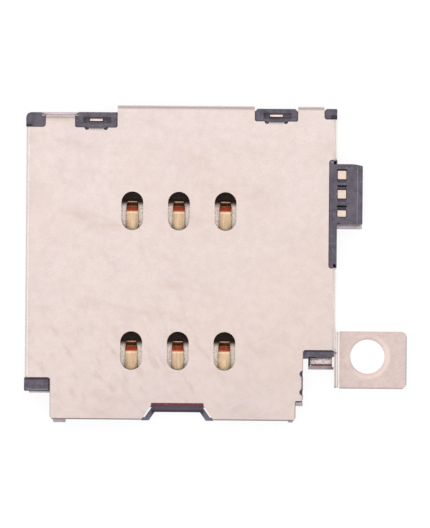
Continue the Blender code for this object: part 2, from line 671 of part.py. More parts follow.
def housing_outline():
    """Plan outline of the moulding: inside the cover's walls, and out through its cuts."""
    proud = 0.035 * MM
    bar_end = X_RIGHT + EAR_JOGGLE - COVER_SHEET - SEAT
    front = Y_MOUTH + 0.06 * MM
    leg_front = Y_MOUTH - 0.045 * MM
    left_cut_end = LEFT_CUT_Y - LEFT_CUT_FILL
    step_y = LEFT_FOLD_Y - 0.04 * MM
    return [
        (X_LEFT - proud, left_cut_end, 0.05 * MM),
        (LEFT_CUT_X + SEAT, left_cut_end),
        (LEFT_CUT_X + SEAT, front, 0.12 * MM),
        (-NOTCH_OUTER_HALF - 0.07 * MM, front),
        (-NOTCH_OUTER_HALF + 0.03 * MM, leg_front),
        (-SILL_OUTER_HALF, leg_front, 0.04 * MM),
        (-SILL_INNER_HALF, SILL_Y, 0.06 * MM),
        (SILL_INNER_HALF, SILL_Y, 0.06 * MM),
        (SILL_OUTER_HALF, leg_front, 0.04 * MM),
        (NOTCH_OUTER_HALF - 0.03 * MM, leg_front),
        (NOTCH_OUTER_HALF + 0.07 * MM, front),
        (RIGHT_STEP_X - SEAT, front, 0.12 * MM),
        (RIGHT_STEP_X - SEAT, RIGHT_STEP_Y + SEAT),
        (RIGHT_CUT_X - SEAT, RIGHT_STEP_Y + SEAT),
        (RIGHT_CUT_X - SEAT, RIGHT_CUT_Y - RIGHT_BAR_LONG),
        (RIGHT_CUT_X + BAR_HEEL_WIDE, RIGHT_CUT_Y - RIGHT_BAR_LONG),
        (RIGHT_CUT_X + BAR_HEEL_WIDE, BAR_EDGE),
        (bar_end, BAR_EDGE, 0.05 * MM),
        (bar_end, RIGHT_CUT_Y - SEAT, 0.05 * MM),
        (IN_RIGHT, RIGHT_CUT_Y - SEAT),
        (IN_RIGHT, COLUMN_Y0 + SEAT),
        (COLUMN_OUT, COLUMN_Y0 + SEAT),
        (COLUMN_OUT, BLOCK_START),
        (BLOCK_REACH, BLOCK_START, 0.04 * MM),
        (BLOCK_REACH, BLOCK_END - 0.09 * MM, 0.04 * MM),
        (COLUMN_OUT + 0.9 * MM, BLOCK_END),
        (COLUMN_OUT, BLOCK_END),
        (COLUMN_OUT, COLUMN_Y1 - SEAT),
        (IN_RIGHT, COLUMN_Y1 - SEAT),
        (IN_RIGHT, RIGHT_CORNER_Y + SEAT),
        (X_RIGHT - 0.01 * MM, RIGHT_CORNER_Y + SEAT),
        (X_RIGHT - 0.01 * MM, Y_REAR - 0.11 * MM, 0.05 * MM),
        (RIGHT_CORNER_X + 0.12 * MM, Y_REAR - 0.11 * MM),
        (RIGHT_CORNER_X + SEAT, Y_REAR - 0.21 * MM),
        (RIGHT_CORNER_X - 0.06 * MM, IN_REAR),
        (RIGHT_BLOCK_X1 + 0.06 * MM, IN_REAR),
        (RIGHT_BLOCK_X1 - SEAT, RIGHT_BLOCK_Y + RIGHT_BLOCK_LONG - 0.14 * MM),
        (RIGHT_BLOCK_X1 - 0.16 * MM, RIGHT_BLOCK_Y + RIGHT_BLOCK_LONG),
        (RIGHT_BLOCK_X0 + 0.16 * MM, RIGHT_BLOCK_Y + RIGHT_BLOCK_LONG),
        (RIGHT_BLOCK_X0 + SEAT, RIGHT_BLOCK_Y + RIGHT_BLOCK_LONG - 0.14 * MM),
        (RIGHT_BLOCK_X0 - 0.06 * MM, IN_REAR),
        (LEFT_BLOCK_X1 + 0.06 * MM, IN_REAR),
        (LEFT_BLOCK_X1 - SEAT, LEFT_BLOCK_Y + LEFT_BLOCK_LONG),
        (LEFT_BLOCK_X0 + 0.20 * MM, LEFT_BLOCK_Y + LEFT_BLOCK_LONG),
        (LEFT_BLOCK_X0 + 0.20 * MM, step_y),
        (LEFT_BLOCK_X0 + SEAT, step_y),
        (LEFT_BLOCK_X0 + SEAT, LEFT_FOLD_Y - COVER_SHEET - WALL_GAP),
        (LEFT_CORNER_X - SEAT, LEFT_FOLD_Y - COVER_SHEET - WALL_GAP),
        (LEFT_CORNER_X - SEAT, step_y),
        (LEFT_CORNER_X - 0.23 * MM, step_y),
        (LEFT_CORNER_X - 0.23 * MM, LEFT_BLOCK_Y + LEFT_BLOCK_LONG - 0.03 * MM),
        (X_LEFT - proud, LEFT_BLOCK_Y + LEFT_BLOCK_LONG - 0.03 * MM, 0.30 * MM),
        (X_LEFT - proud, LEFT_CORNER_Y + SEAT),
        (IN_LEFT, LEFT_CORNER_Y + SEAT),
        (IN_LEFT, LEFT_CUT_Y - SEAT),
        (X_LEFT - proud, LEFT_CUT_Y - SEAT),
    ]


def under_cover_outline():
    """Plan outline of everything the cover's sheet lies over, grown by the seat clearance."""
    far = 1.0 * MM
    return [
        (X_LEFT - far, LEFT_CUT_Y - SEAT),
        (LEFT_CUT_X - SEAT, LEFT_CUT_Y - SEAT, 0.11 * MM),
        (LEFT_CUT_X - SEAT, Y_MOUTH - far),
        (RIGHT_STEP_X + SEAT, Y_MOUTH - far),
        (RIGHT_STEP_X + SEAT, RIGHT_STEP_Y - SEAT),
        (RIGHT_CUT_X + SEAT, RIGHT_STEP_Y - SEAT),
        (RIGHT_CUT_X + SEAT, RIGHT_CUT_Y - SEAT, 0.10 * MM),
        (X_RIGHT + far, RIGHT_CUT_Y - SEAT),
        (X_RIGHT + far, COLUMN_Y0 + SEAT),
        (COLUMN_X + SEAT, COLUMN_Y0 + SEAT, COLUMN_CORNER - SEAT),
        (COLUMN_X + SEAT, COLUMN_Y1 - SEAT, COLUMN_CORNER - SEAT),
        (X_RIGHT + far, COLUMN_Y1 - SEAT),
        (X_RIGHT + far, RIGHT_CORNER_Y + SEAT),
        (RIGHT_CORNER_X + SEAT, RIGHT_CORNER_Y + SEAT, 0.13 * MM),
        (RIGHT_CORNER_X + SEAT, Y_REAR + far),
        (RIGHT_BLOCK_X1 - SEAT, Y_REAR + far),
        (RIGHT_BLOCK_X1 - SEAT, RIGHT_BLOCK_Y + SEAT, 0.08 * MM),
        (RIGHT_BLOCK_X0 + SEAT, RIGHT_BLOCK_Y + SEAT, 0.08 * MM),
        (RIGHT_BLOCK_X0 + SEAT, Y_REAR + far),
        (LEFT_BLOCK_X1 - SEAT, Y_REAR + far),
        (LEFT_BLOCK_X1 - SEAT, LEFT_BLOCK_Y + SEAT, 0.08 * MM),
        (LEFT_BLOCK_X0 + SEAT, LEFT_BLOCK_Y + SEAT, 0.08 * MM),
        (LEFT_BLOCK_X0 + SEAT, Y_REAR + far),
        (LEFT_CORNER_X - SEAT, Y_REAR + far),
        (LEFT_CORNER_X - SEAT, LEFT_CORNER_Y + SEAT, 0.16 * MM),
        (X_LEFT - far, LEFT_CORNER_Y + SEAT),
    ]


def channel_outline():
    """Plan of the card channel: flared at the mouth, with the card's keyed corner at the end."""
    far = Y_MOUTH - 1.0 * MM
    flare = 0.16 * MM
    return [
        (-CHANNEL_HALF - flare, far),
        (CHANNEL_HALF + flare, far),
        (CHANNEL_HALF + flare, Y_MOUTH),
        (CHANNEL_HALF, Y_MOUTH + 0.55 * MM),
        (CHANNEL_HALF, CHANNEL_REAR - CARD_KEY),
        (CHANNEL_HALF - CARD_KEY, CHANNEL_REAR),
        (-CHANNEL_HALF, CHANNEL_REAR, 0.25 * MM),
        (-CHANNEL_HALF, Y_MOUTH + 0.55 * MM),
        (-CHANNEL_HALF - flare, Y_MOUTH),
    ]


def pad_places():
    """Middle and length of the three pads along Y."""
    return [
        (FIRST_PAD_Y, PAD_LONG),
        (FIRST_PAD_Y - PAD_PITCH, PAD_LONG),
        (FIRST_PAD_Y - 2 * PAD_PITCH, LAST_PAD_LONG),
    ]


def make_housing(look, collection):
    """The moulding: floor, card channel, rear blocks, mouth sill and switch block."""
    housing = slab("housing", housing_outline(), FLOOR_UNDER, BLOCK_TOP)
    above = COVER_TOP + 1.0 * MM
    cutters = [
        slab("cover_room", under_cover_outline(), WALL_TOP, above),
        slab("channel", channel_outline(), FLOOR_TOP, WALL_TOP + SLACK),
    ]
    for _, x, y in contact_places():
        half = SPRING_ROOM_HALF
        root = y - CONTACT_REACH
        cutters.append(slab("spring_window", rectangle(x - half, x + half,
                                                       root - FOOT_LONG - FOOT_ROOM - SLACK,
                                                       y + SPRING_ROOM_END, 0.10 * MM),
                            FLOOR_UNDER - SLACK, FLOOR_TOP + SLACK))
        ear = CONTACT_EAR_WIDE / 2 + 0.06 * MM
        cutters.append(block("ear_pocket", x - ear, x + ear,
                             root - 0.16 * MM, root + 0.16 * MM,
                             EAR_PIVOT_HIGH - 0.10 * MM, EAR_PIVOT_HIGH + 0.10 * MM))
    for middle, edge, latch in ((LEFT_BLOCK_X, LEFT_BLOCK_Y, LATCH_Y_LEFT),
                                (RIGHT_BLOCK_X, RIGHT_BLOCK_Y, LATCH_Y_RIGHT)):
        half = LATCH_WIDE / 2 + SLACK
        cutters.append(block("tab_pocket", middle - half, middle + half,
                             edge - COVER_SHEET - 2 * SLACK, edge + 0.03 * MM,
                             FLOOR_TOP + SLACK, above))
        cutters.append(block("latch_pocket", middle - LATCH_WIDE / 2 - SEAT,
                             middle + LATCH_WIDE / 2 + SEAT,
                             latch - PLATE_SHEET / 2 - BEND_INSIDE - SEAT,
                             latch + PLATE_SHEET / 2 + SEAT, 0.0, above))
        cutters.append(block("latch_channel", middle - half - 0.28 * MM, middle + half + 0.40 * MM,
                             latch - 0.17 * MM, latch + 0.15 * MM, LATCH_TOP - 0.10 * MM, above))
    half = EDGE_TAB_WIDE / 2 + SLACK
    cutters.append(block("tab_pocket", RIGHT_CUT_X - COVER_SHEET - 0.04 * MM, RIGHT_CUT_X,
                         EDGE_TAB_Y - half, EDGE_TAB_Y + half, FLOOR_TOP + SLACK, above))
    lean = (NOTCH_OUTER_HALF - NOTCH_INNER_HALF) / NOTCH_DEEP
    slit_x0 = NOTCH_INNER_HALF + lean * SLIT_START
    slit_x1 = NOTCH_INNER_HALF + lean * SLIT_END
    for side in (-1, 1):
        slit = [(side * (slit_x0 - SLIT_WIDE), NOTCH_Y - SLIT_START),
                (side * (slit_x0 + SLACK), NOTCH_Y - SLIT_START),
                (side * (slit_x1 + SLACK), NOTCH_Y - SLIT_END),
                (side * (slit_x1 - SLIT_WIDE), NOTCH_Y - SLIT_END)]
        cutters.append(slab("slit", slit, FLOOR_UNDER - SLACK, WALL_TOP + SLACK))
    low = FLOOR_TOP + SLACK
    leaf_top = low + LEAF_TALL + 2 * SLACK
    for (y, long), leg_room in zip(pad_places(), (0.20 * MM, 0.10 * MM, 0.10 * MM)):
        cutters.append(block("pad_pocket", PAD_X0 - PAD_ROOM, PAD_X1 + PAD_ROOM,
                             y - long / 2 - PAD_ROOM, y + long / 2 + PAD_ROOM, low, above))
        upper = y + long / 2
        lower = y - long / 2
        if y < FIRST_PAD_Y:
            cutters.append(block("upper_ledge", PAD_X0, PAD_X1, y, upper + LEDGE_LONG,
                                 PAD_TOP - LEDGE_DEEP, above))
            upper += LEDGE_LONG
        cutters.append(block("pad_gap", PAD_X0 - PAD_ROOM, PAD_X1 + PAD_ROOM,
                             upper, upper + PAD_GAP, low, above))
        if y > FIRST_PAD_Y - 2 * PAD_PITCH:
            cutters.append(block("lower_ledge", PAD_X0, PAD_X1, lower - LEDGE_LONG, y,
                                 PAD_TOP - LEDGE_DEEP, above))
        cutters.append(block("leg_slot", ROOM_X1 - SLACK, PAD_X0,
                             y - leg_room - SLACK, y + leg_room, low, leaf_top))
    room_end = ARM_END_Y - 0.45 * MM
    room_start = FIRST_PAD_Y + 0.20 * MM
    cutters.append(slab("arm_room", [(ROOM_X0, room_end), (ROOM_X1, room_end),
                                     (ROOM_X1, room_start, 0.15 * MM),
                                     (ROOM_X0, room_start, 0.15 * MM)], low, above))
    cutters.append(block("nose_window", CHANNEL_HALF - SLACK, ROOM_X0 + SLACK,
                         ARM_END_Y - 0.20 * MM, NOSE_Y + 0.73 * MM, low, above))
    rim = SEAT + SLACK
    for start, end in ((COLUMN_Y0 + rim, COLUMN_Y0 + rim + HOLLOW_LONG),
                       (COLUMN_Y1 - rim - HOLLOW_LONG, COLUMN_Y1 - rim)):
        cutters.append(block("column_hollow", COLUMN_OUT - SLACK - HOLLOW_WIDE, COLUMN_OUT - SLACK,
                             start, end, BLOCK_TOP - HOLLOW_DEEP, above))
    cut(housing, cutters)
    slope = [(BLOCK_REACH + SLACK, BLOCK_TOP + SLACK), (BLOCK_REACH - BLOCK_SLOPE, BLOCK_TOP + SLACK),
             (BLOCK_REACH - BLOCK_SLOPE, BLOCK_TOP), (BLOCK_REACH + SLACK, BLOCK_TOP - 0.16 * MM)]
    cut(housing, [along_y("slope", slope, BLOCK_START - SLACK, BLOCK_END + SLACK)])
    return finish(housing, "housing", look, collection)


def strip_outline(path, thick):
    """Outline of a bent strip of even thickness that follows a path, with mitred corners."""
    sides = ([], [])
    last = len(path) - 1
    for index, (x, y) in enumerate(path):
        before = path[max(index - 1, 0)]
        after = path[min(index + 1, last)]
        normals = []
        for start, end in ((before, (x, y)), ((x, y), after)):
            dx = end[0] - start[0]
            dy = end[1] - start[1]
            long = math.hypot(dx, dy)
            if long > 0.0:
                normals.append((-dy / long, dx / long))
        nx = sum(normal[0] for normal in normals) / len(normals)
        ny = sum(normal[1] for normal in normals) / len(normals)
        scale = thick / 2 / (nx * nx + ny * ny)
        sides[0].append((x + nx * scale, y + ny * scale))
        sides[1].append((x - nx * scale, y - ny * scale))
    return sides[0] + list(reversed(sides[1]))


def contact_path():
    """Middle line of a contact spring in Y and Z, with Y counted from its window's middle."""
    root = -CONTACT_REACH
    foot = CONTACT_SHEET / 2
    rise = EAR_PIVOT_HIGH
    top = rise + CONTACT_RISE
    run = CONTACT_REACH - 0.08 * MM
    path = [(root - 0.30 * MM - FOOT_LONG, foot), (root - 0.30 * MM, foot)]
    path += [(root - 0.24 * MM, foot + 0.03 * MM), (root - 0.16 * MM, rise - 0.03 * MM)]
    path += [(root - 0.10 * MM, rise), (root + 0.08 * MM, rise), (root + 0.20 * MM, rise + 0.03 * MM)]
    path += [(root + 0.78 * run, rise + 0.86 * CONTACT_RISE)]
    path += [(root + 0.90 * run, rise + 0.965 * CONTACT_RISE), (root + run, top)]
    path += [(root + run + 0.38 * CONTACT_TIP, top - 0.025 * MM)]
    path += [(root + run + 0.72 * CONTACT_TIP, top - 0.08 * MM)]
    path += [(root + run + CONTACT_TIP, top - 0.16 * MM)]
    return path


def make_contact(name, x, y, look, collection):
    """One stamped contact spring: solder foot, trapped ears, rising beam, apex and tip."""
    outline = strip_outline(contact_path(), CONTACT_SHEET)
    contact = along_x(name, outline, -CONTACT_ROOT_WIDE / 2, CONTACT_ROOT_WIDE / 2)
    tip_share = CONTACT_TIP_WIDE / CONTACT_ROOT_WIDE
    for vertex in contact.data.vertices:
        along = (vertex.co.y + CONTACT_REACH) / CONTACT_REACH
        share = 1.0 + (tip_share - 1.0) * min(max(along, 0.0), 1.0)
        if along < -0.10:
            share = 0.55
        vertex.co.x *= share
    ears = block("ears", -CONTACT_EAR_WIDE / 2, CONTACT_EAR_WIDE / 2,
                 -CONTACT_REACH - 0.09 * MM, -CONTACT_REACH + 0.09 * MM,
                 EAR_PIVOT_HIGH - CONTACT_SHEET / 2, EAR_PIVOT_HIGH + CONTACT_SHEET / 2)
    join(contact, [ears])
    finish(contact, name, look, collection)
    pivot = (0.0, -CONTACT_REACH, EAR_PIVOT_HIGH)
    contact.data.transform(Matrix.Translation((-pivot[0], -pivot[1], -pivot[2])))
    contact.location = (x + pivot[0], y + pivot[1], pivot[2])
    return contact


def make_terminal(name, pad_y, long, path, look, collection):
    """A switch terminal: pad in the channel, neck, and a strip on edge along a plan path."""
    low = FLOOR_TOP + 2 * SLACK
    strip = solid_from_outline(name, [strip_outline(path, LEAF_SHEET)], low, low + LEAF_TALL)
    neck = block("neck", PAD_PIVOT_X - 0.10 * MM, PAD_PIVOT_X + 0.10 * MM,
                 pad_y - 0.4 * LEAF_SHEET, pad_y + 0.4 * LEAF_SHEET,
                 low + 0.5 * LEAF_TALL, PAD_TOP - 0.5 * PAD_THICK)
    pad = block("pad", PAD_X0, PAD_X1, pad_y - long / 2, pad_y + long / 2,
                PAD_TOP - PAD_THICK, PAD_TOP)
    join(strip, [neck, pad])
    return finish(strip, name, look, collection)


def make_switch(look, collection):
    """The card-detect switch: moving leaf, the terminal that it meets and a third terminal."""
    pads = pad_places()
    start = PAD_X1 - 0.07 * MM
    leaf_y, leaf_long = pads[0]
    room = ROOM_X1 - ROOM_X0
    turn_x = ROOM_X0 + 0.615 * room
    nose_x = CHANNEL_HALF - NOSE_STANDS_IN
    leaf = make_terminal("detect_leaf", leaf_y, leaf_long, [
        (start, leaf_y),
        (turn_x + 0.12 * MM, leaf_y),
        (turn_x, leaf_y - 0.10 * MM),
        (ROOM_X0 + 0.155 * room, NOSE_Y + 0.725 * MM),
        (nose_x, NOSE_Y + 0.075 * MM),
        (nose_x, NOSE_Y - 0.075 * MM),
        (ROOM_X0 + 0.08 * room, ARM_END_Y),
    ], look, collection)
    pivot = (PAD_PIVOT_X, leaf_y, 0.0)
    leaf.data.transform(Matrix.Translation((-pivot[0], -pivot[1], 0.0)))
    leaf.location = pivot
    meet_y, meet_long = pads[1]
    meet_x = ROOM_X0 + 0.81 * room
    make_terminal("detect_contact", meet_y, meet_long, [
        (start, meet_y),
        (meet_x, meet_y),
        (meet_x, ARM_END_Y + 0.15 * MM),
        (ROOM_X0 + 0.44 * room, ARM_END_Y - 0.25 * MM),
    ], look, collection)
    third_y, third_long = pads[2]
    make_terminal("ground_terminal", third_y, third_long, [
        (start, third_y),
        (ROOM_X1 + 0.32 * MM, third_y),
    ], look, collection)


def main():
    """Clear the scene and build the socket."""
    for old in list(bpy.data.objects):
        bpy.data.objects.remove(old)
    collection = new_collection("sim_card_socket")
    nickel = material("cover_nickel", (0.72, 0.63, 0.60), 1.0, 0.38)
    steel = material("plate_steel", (0.62, 0.56, 0.54), 1.0, 0.45)
    plastic = material("housing_plastic", (0.13, 0.11, 0.13), 0.0, 0.55)
    gold = material("contact_gold", (0.83, 0.58, 0.34), 1.0, 0.30)
    pad_gold = material("pad_gold", (0.90, 0.72, 0.55), 1.0, 0.35)
    make_cover(nickel, collection)
    make_plate(steel, collection)
    make_housing(plastic, collection)
    for name, x, y in contact_places():
        make_contact(name, x, y, gold, collection)
    make_switch(pad_gold, collection)


main()
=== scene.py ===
# %% [markdown]
# # Dressing a sim card socket
# The socket is four kinds of material packed into a millimetre and a half: a folded cover of
# nickel plated copper alloy, a moulded plastic housing, a stamped plate below, and gold plated
# springs. The CAD part gives every shape its place. This lesson loads it as a fixed frame, and
# then makes each piece again with rounded edges and a finish that bears a close look.

# %% Load the frame
import json
import math

import bmesh
import bpy
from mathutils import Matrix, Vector

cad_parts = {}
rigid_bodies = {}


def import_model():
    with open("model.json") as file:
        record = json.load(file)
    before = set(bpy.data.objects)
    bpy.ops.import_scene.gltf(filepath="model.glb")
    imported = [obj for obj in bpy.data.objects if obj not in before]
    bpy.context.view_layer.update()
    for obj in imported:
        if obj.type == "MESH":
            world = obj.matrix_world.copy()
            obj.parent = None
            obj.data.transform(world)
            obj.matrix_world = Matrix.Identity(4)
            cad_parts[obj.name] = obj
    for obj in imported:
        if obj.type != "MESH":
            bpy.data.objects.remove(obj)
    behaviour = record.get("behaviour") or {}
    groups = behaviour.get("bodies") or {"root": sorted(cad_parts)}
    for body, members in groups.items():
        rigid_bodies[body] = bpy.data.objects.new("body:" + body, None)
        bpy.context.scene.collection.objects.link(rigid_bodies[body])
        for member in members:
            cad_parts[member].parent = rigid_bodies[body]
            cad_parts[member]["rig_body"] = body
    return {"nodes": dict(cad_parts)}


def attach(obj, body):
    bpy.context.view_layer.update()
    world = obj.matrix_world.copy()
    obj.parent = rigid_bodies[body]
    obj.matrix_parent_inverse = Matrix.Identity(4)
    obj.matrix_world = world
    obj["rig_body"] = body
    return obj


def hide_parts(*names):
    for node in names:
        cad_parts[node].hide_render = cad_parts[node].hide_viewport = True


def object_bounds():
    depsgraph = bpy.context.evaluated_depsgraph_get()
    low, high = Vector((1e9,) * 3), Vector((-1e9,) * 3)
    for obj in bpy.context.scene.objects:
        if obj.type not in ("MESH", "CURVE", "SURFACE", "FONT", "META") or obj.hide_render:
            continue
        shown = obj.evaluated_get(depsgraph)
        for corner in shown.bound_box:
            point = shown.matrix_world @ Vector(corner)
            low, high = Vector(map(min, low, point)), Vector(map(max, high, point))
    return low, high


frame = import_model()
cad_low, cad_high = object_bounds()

MM = 0.001
print("nodes:", ", ".join(sorted(frame["nodes"])))
print("size in mm:", [round(v / MM, 2) for v in cad_high - cad_low])

# %% [markdown]
# ## Where the sheets end
# Many finishes follow an edge: a burnished line along a fold, a dark seam against a cut-out. Each
# such place is written from the edge that it follows. The cover's outermost edges are read from
# the CAD. The others are the CAD's own lengths in plan, in millimetres, with X to the ear and Y
# to the rear, and left and right as they are with the mouth in front. Only the last two are rough
# fields, one round all six windows and one inside the card channel.

# %% Edges in plan
def plan_box(name):
    """The least and greatest x, then the least and greatest y, of a CAD node in mm."""
    points = [vertex.co / MM for vertex in frame["nodes"][name].data.vertices]
    xs = [round(point.x, 3) for point in points]
    ys = [round(point.y, 3) for point in points]
    return min(xs), max(xs), min(ys), max(ys)


cover_left, ear_end, cover_mouth, cover_rear = plan_box("cover_shell")
cover_right = 8.60
left_corner_x, left_corner_y = -7.29, 8.34
right_corner_x, right_corner_y = 7.89, 8.87
left_fold_y = 8.99
left_block_x0, left_block_x1, left_block_y = -5.70, -3.38, 8.33
right_block_x0, right_block_x1, right_block_y = 4.09, 6.46, 8.74
left_cut_x, left_cut_y, left_cut_foot = -6.96, -5.305, -6.05
right_cut_x, right_cut_y = 6.84, -3.70
step_x, step_y = 6.445, -6.48
column_y0, column_y1 = 0.75, 6.68
switch_y = 3.17
ear_wall_x, ear_y0, ear_y1 = 8.69, -5.80, -2.67
hole_x, hole_y, hole_radius = 10.36, -4.045, 0.935
sill_half, sill_y = 1.40, -7.16
tongues = ((-4.54, 8.67), (5.275, 8.98))
tongue_half = 0.37
column_pitch, row_spacing = 2.54, 7.62
windows_field = (-4.0, 4.0, -6.2, 6.2)
channel_inside = (-5.9, 5.9, -6.6, 8.1)
print("cover from", cover_left, "to", ear_end, "mm in X and from", cover_mouth, "to",
      cover_rear, "mm in Y")


# %% Strips beside an edge
def strip_up(edge, low, high, y0, y1):
    """A strip along Y, from low to high beside an edge at x, as (x0, x1, y0, y1)."""
    return (edge + low, edge + high, y0, y1)


def strip_across(edge, low, high, x0, x1):
    """A strip along X, from low to high beside an edge at y, as (x0, x1, y0, y1)."""
    return (x0, x1, edge + low, edge + high)


print("strips ready")

# %% [markdown]
# ## The camera
# The photograph looks straight down from far away, so all walls stay hidden. A long lens keeps
# it so: the camera stands 0.6 m above the cover, and the focal length follows from the height of
# the strip of table that the photograph shows. The part lies about half a degree turned in it.

# %% Camera
camera_height = 600 * MM
seen_height = 28.774 * MM
seen_middle_x, seen_middle_y = 1.992 * MM, 0.946 * MM
camera_turn = 0.00855
sensor_height = 36.0
cover_top = cad_high.z

camera_data = bpy.data.cameras.new("camera")
camera_data.sensor_fit = "VERTICAL"
camera_data.sensor_height = sensor_height
camera_data.lens = sensor_height * camera_height / seen_height
camera_data.clip_start = 0.01
camera_data.clip_end = 10.0
camera = bpy.data.objects.new("camera", camera_data)
camera.location = (seen_middle_x, seen_middle_y, cover_top + camera_height)
camera.rotation_euler = (0.0, 0.0, camera_turn)
bpy.context.scene.collection.objects.link(camera)
bpy.context.scene.camera = camera
bpy.context.scene.view_settings.view_transform = "Standard"
print("focal length:", round(camera_data.lens, 1), "mm")

# %% [markdown]
# ## Small helpers for shader nodes
# Every finish here is built from the same few steps: take the place on the object in
# millimetres, turn it into a grain with Noise, cut a range out of the grain, and mix two colours
# by it. One small class keeps those steps short. Colours are written as they look on screen and
# turned into linear light, because the shaders work in linear light.

# %% Colour and node helpers
def screen(hex_colour):
    """A colour written as on screen, in linear light."""
    channels = []
    for start in (1, 3, 5):
        value = int(hex_colour[start:start + 2], 16) / 255
        channels.append(value / 12.92 if value <= 0.04045 else ((value + 0.055) / 1.055) ** 2.4)
    return (*channels, 1.0)


class Finish:
    """A material under construction, with its shader and the place on the object in mm."""

    def __init__(self, name, roughness, metallic=0.0):
        self.material = bpy.data.materials.new(name)
        self.material.use_nodes = True
        self.tree = self.material.node_tree
        self.shader = self.tree.nodes["Principled BSDF"]
        self.shader.inputs["Roughness"].default_value = roughness
        self.shader.inputs["Metallic"].default_value = metallic
        self.place = self.tree.nodes.new("ShaderNodeTexCoord").outputs["Object"]
        self.axes = {}

    def wire(self, value, socket):
        """Set a socket to a number or colour, or link it to an output."""
        if isinstance(value, bpy.types.NodeSocket):
            self.tree.links.new(value, socket)
        else:
            socket.default_value = value

    def grain(self, per_mm, detail=2.0, stretch=(1, 1, 1), turn=0.0, shift=0.0, rough=0.5):
        """Noise with so many lumps to the millimetre, stretched along a direction in plan."""
        mapping = self.tree.nodes.new("ShaderNodeMapping")
        mapping.vector_type = "TEXTURE"
        mapping.inputs["Rotation"].default_value = (0.0, 0.0, math.radians(turn))
        mapping.inputs["Location"].default_value = (shift * MM, -2 * shift * MM, 3 * shift * MM)
        mapping.inputs["Scale"].default_value = [MM / per_mm * share for share in stretch]
        self.tree.links.new(self.place, mapping.inputs["Vector"])
        texture = self.tree.nodes.new("ShaderNodeTexNoise")
        texture.inputs["Scale"].default_value = 1.0
        texture.inputs["Detail"].default_value = detail
        texture.inputs["Roughness"].default_value = rough
        self.tree.links.new(mapping.outputs["Vector"], texture.inputs["Vector"])
        return texture.outputs["Fac"]

    def span(self, value, low, high, out_low=0.0, out_high=1.0, smooth=True):
        """Stretch the part of value from low to high to out_low..out_high, and stop there."""
        node = self.tree.nodes.new("ShaderNodeMapRange")
        node.interpolation_type = "SMOOTHSTEP" if smooth else "LINEAR"
        self.wire(value, node.inputs["Value"])
        node.inputs["From Min"].default_value = low
        node.inputs["From Max"].default_value = high
        node.inputs["To Min"].default_value = out_low
        node.inputs["To Max"].default_value = out_high
        return node.outputs["Result"]

    def join(self, first, second, how="ADD"):
        """Two values added, or multiplied and so on."""
        node = self.tree.nodes.new("ShaderNodeMath")
        node.operation = how
        self.wire(first, node.inputs[0])
        self.wire(second, node.inputs[1])
        return node.outputs["Value"]

    def blend(self, share, first, second):
        """Two colours mixed by share: none of it gives the first, all of it the second."""
        node = self.tree.nodes.new("ShaderNodeMix")
        node.data_type = "RGBA"
        colours = [socket for socket in node.inputs if socket.type == "RGBA"]
        self.wire(share, node.inputs["Factor"])
        self.wire(first, colours[0])
        self.wire(second, colours[1])
        return [socket for socket in node.outputs if socket.type == "RGBA"][0]

    def axis(self, name):
        """One coordinate of the place on the object, in millimetres."""
        if name not in self.axes:
            node = self.tree.nodes.new("ShaderNodeSeparateXYZ")
            self.tree.links.new(self.place, node.inputs["Vector"])
            self.axes[name] = self.join(node.outputs[name], 1 / MM, "MULTIPLY")
        return self.axes[name]

    def away(self, x, y):
        """The distance in plan from a point, in millimetres."""
        across = self.join(self.axis("X"), -x)
        up = self.join(self.axis("Y"), -y)
        square = self.join(self.join(across, across, "MULTIPLY"), self.join(up, up, "MULTIPLY"))
        return self.join(square, 0.5, "POWER")

    def patch(self, x0, x1, y0, y1, soft, strength):
        """A soft edged rectangle in plan, in millimetres."""
        inside = strength
        for name, low, high in (("X", x0, x1), ("Y", y0, y1)):
            place = self.axis(name)
            inside = self.join(self.span(place, low - soft, low + soft), inside, "MULTIPLY")
            inside = self.join(self.span(place, high + soft, high - soft), inside, "MULTIPLY")
        return inside

    def painted(self, tone, colour, places, soft, strength, limit=1.0):
        """Tone with a colour laid over soft edged rectangles in plan, times limit."""
        share = 0.0
        for place in places:
            share = self.join(self.patch(*place, soft, strength), share, "MAXIMUM")
        return self.blend(self.join(share, limit, "MULTIPLY"), tone, screen(colour))

    def bump(self, height, depth):
        """Raise the surface by height times depth, over any bump that is there already."""
        node = self.tree.nodes.new("ShaderNodeBump")
        node.inputs["Strength"].default_value = 1.0
        node.inputs["Distance"].default_value = depth
        self.wire(height, node.inputs["Height"])
        before = self.shader.inputs["Normal"].links
        if before:
            self.tree.links.new(before[0].from_socket, node.inputs["Normal"])
        self.tree.links.new(node.outputs["Normal"], self.shader.inputs["Normal"])

    def colour(self, value):
        """Give the shader its base colour."""
        self.wire(value, self.shader.inputs["Base Color"])

    def roughness(self, value):
        """Give the shader its roughness."""
        self.wire(value, self.shader.inputs["Roughness"])


print("helpers ready")
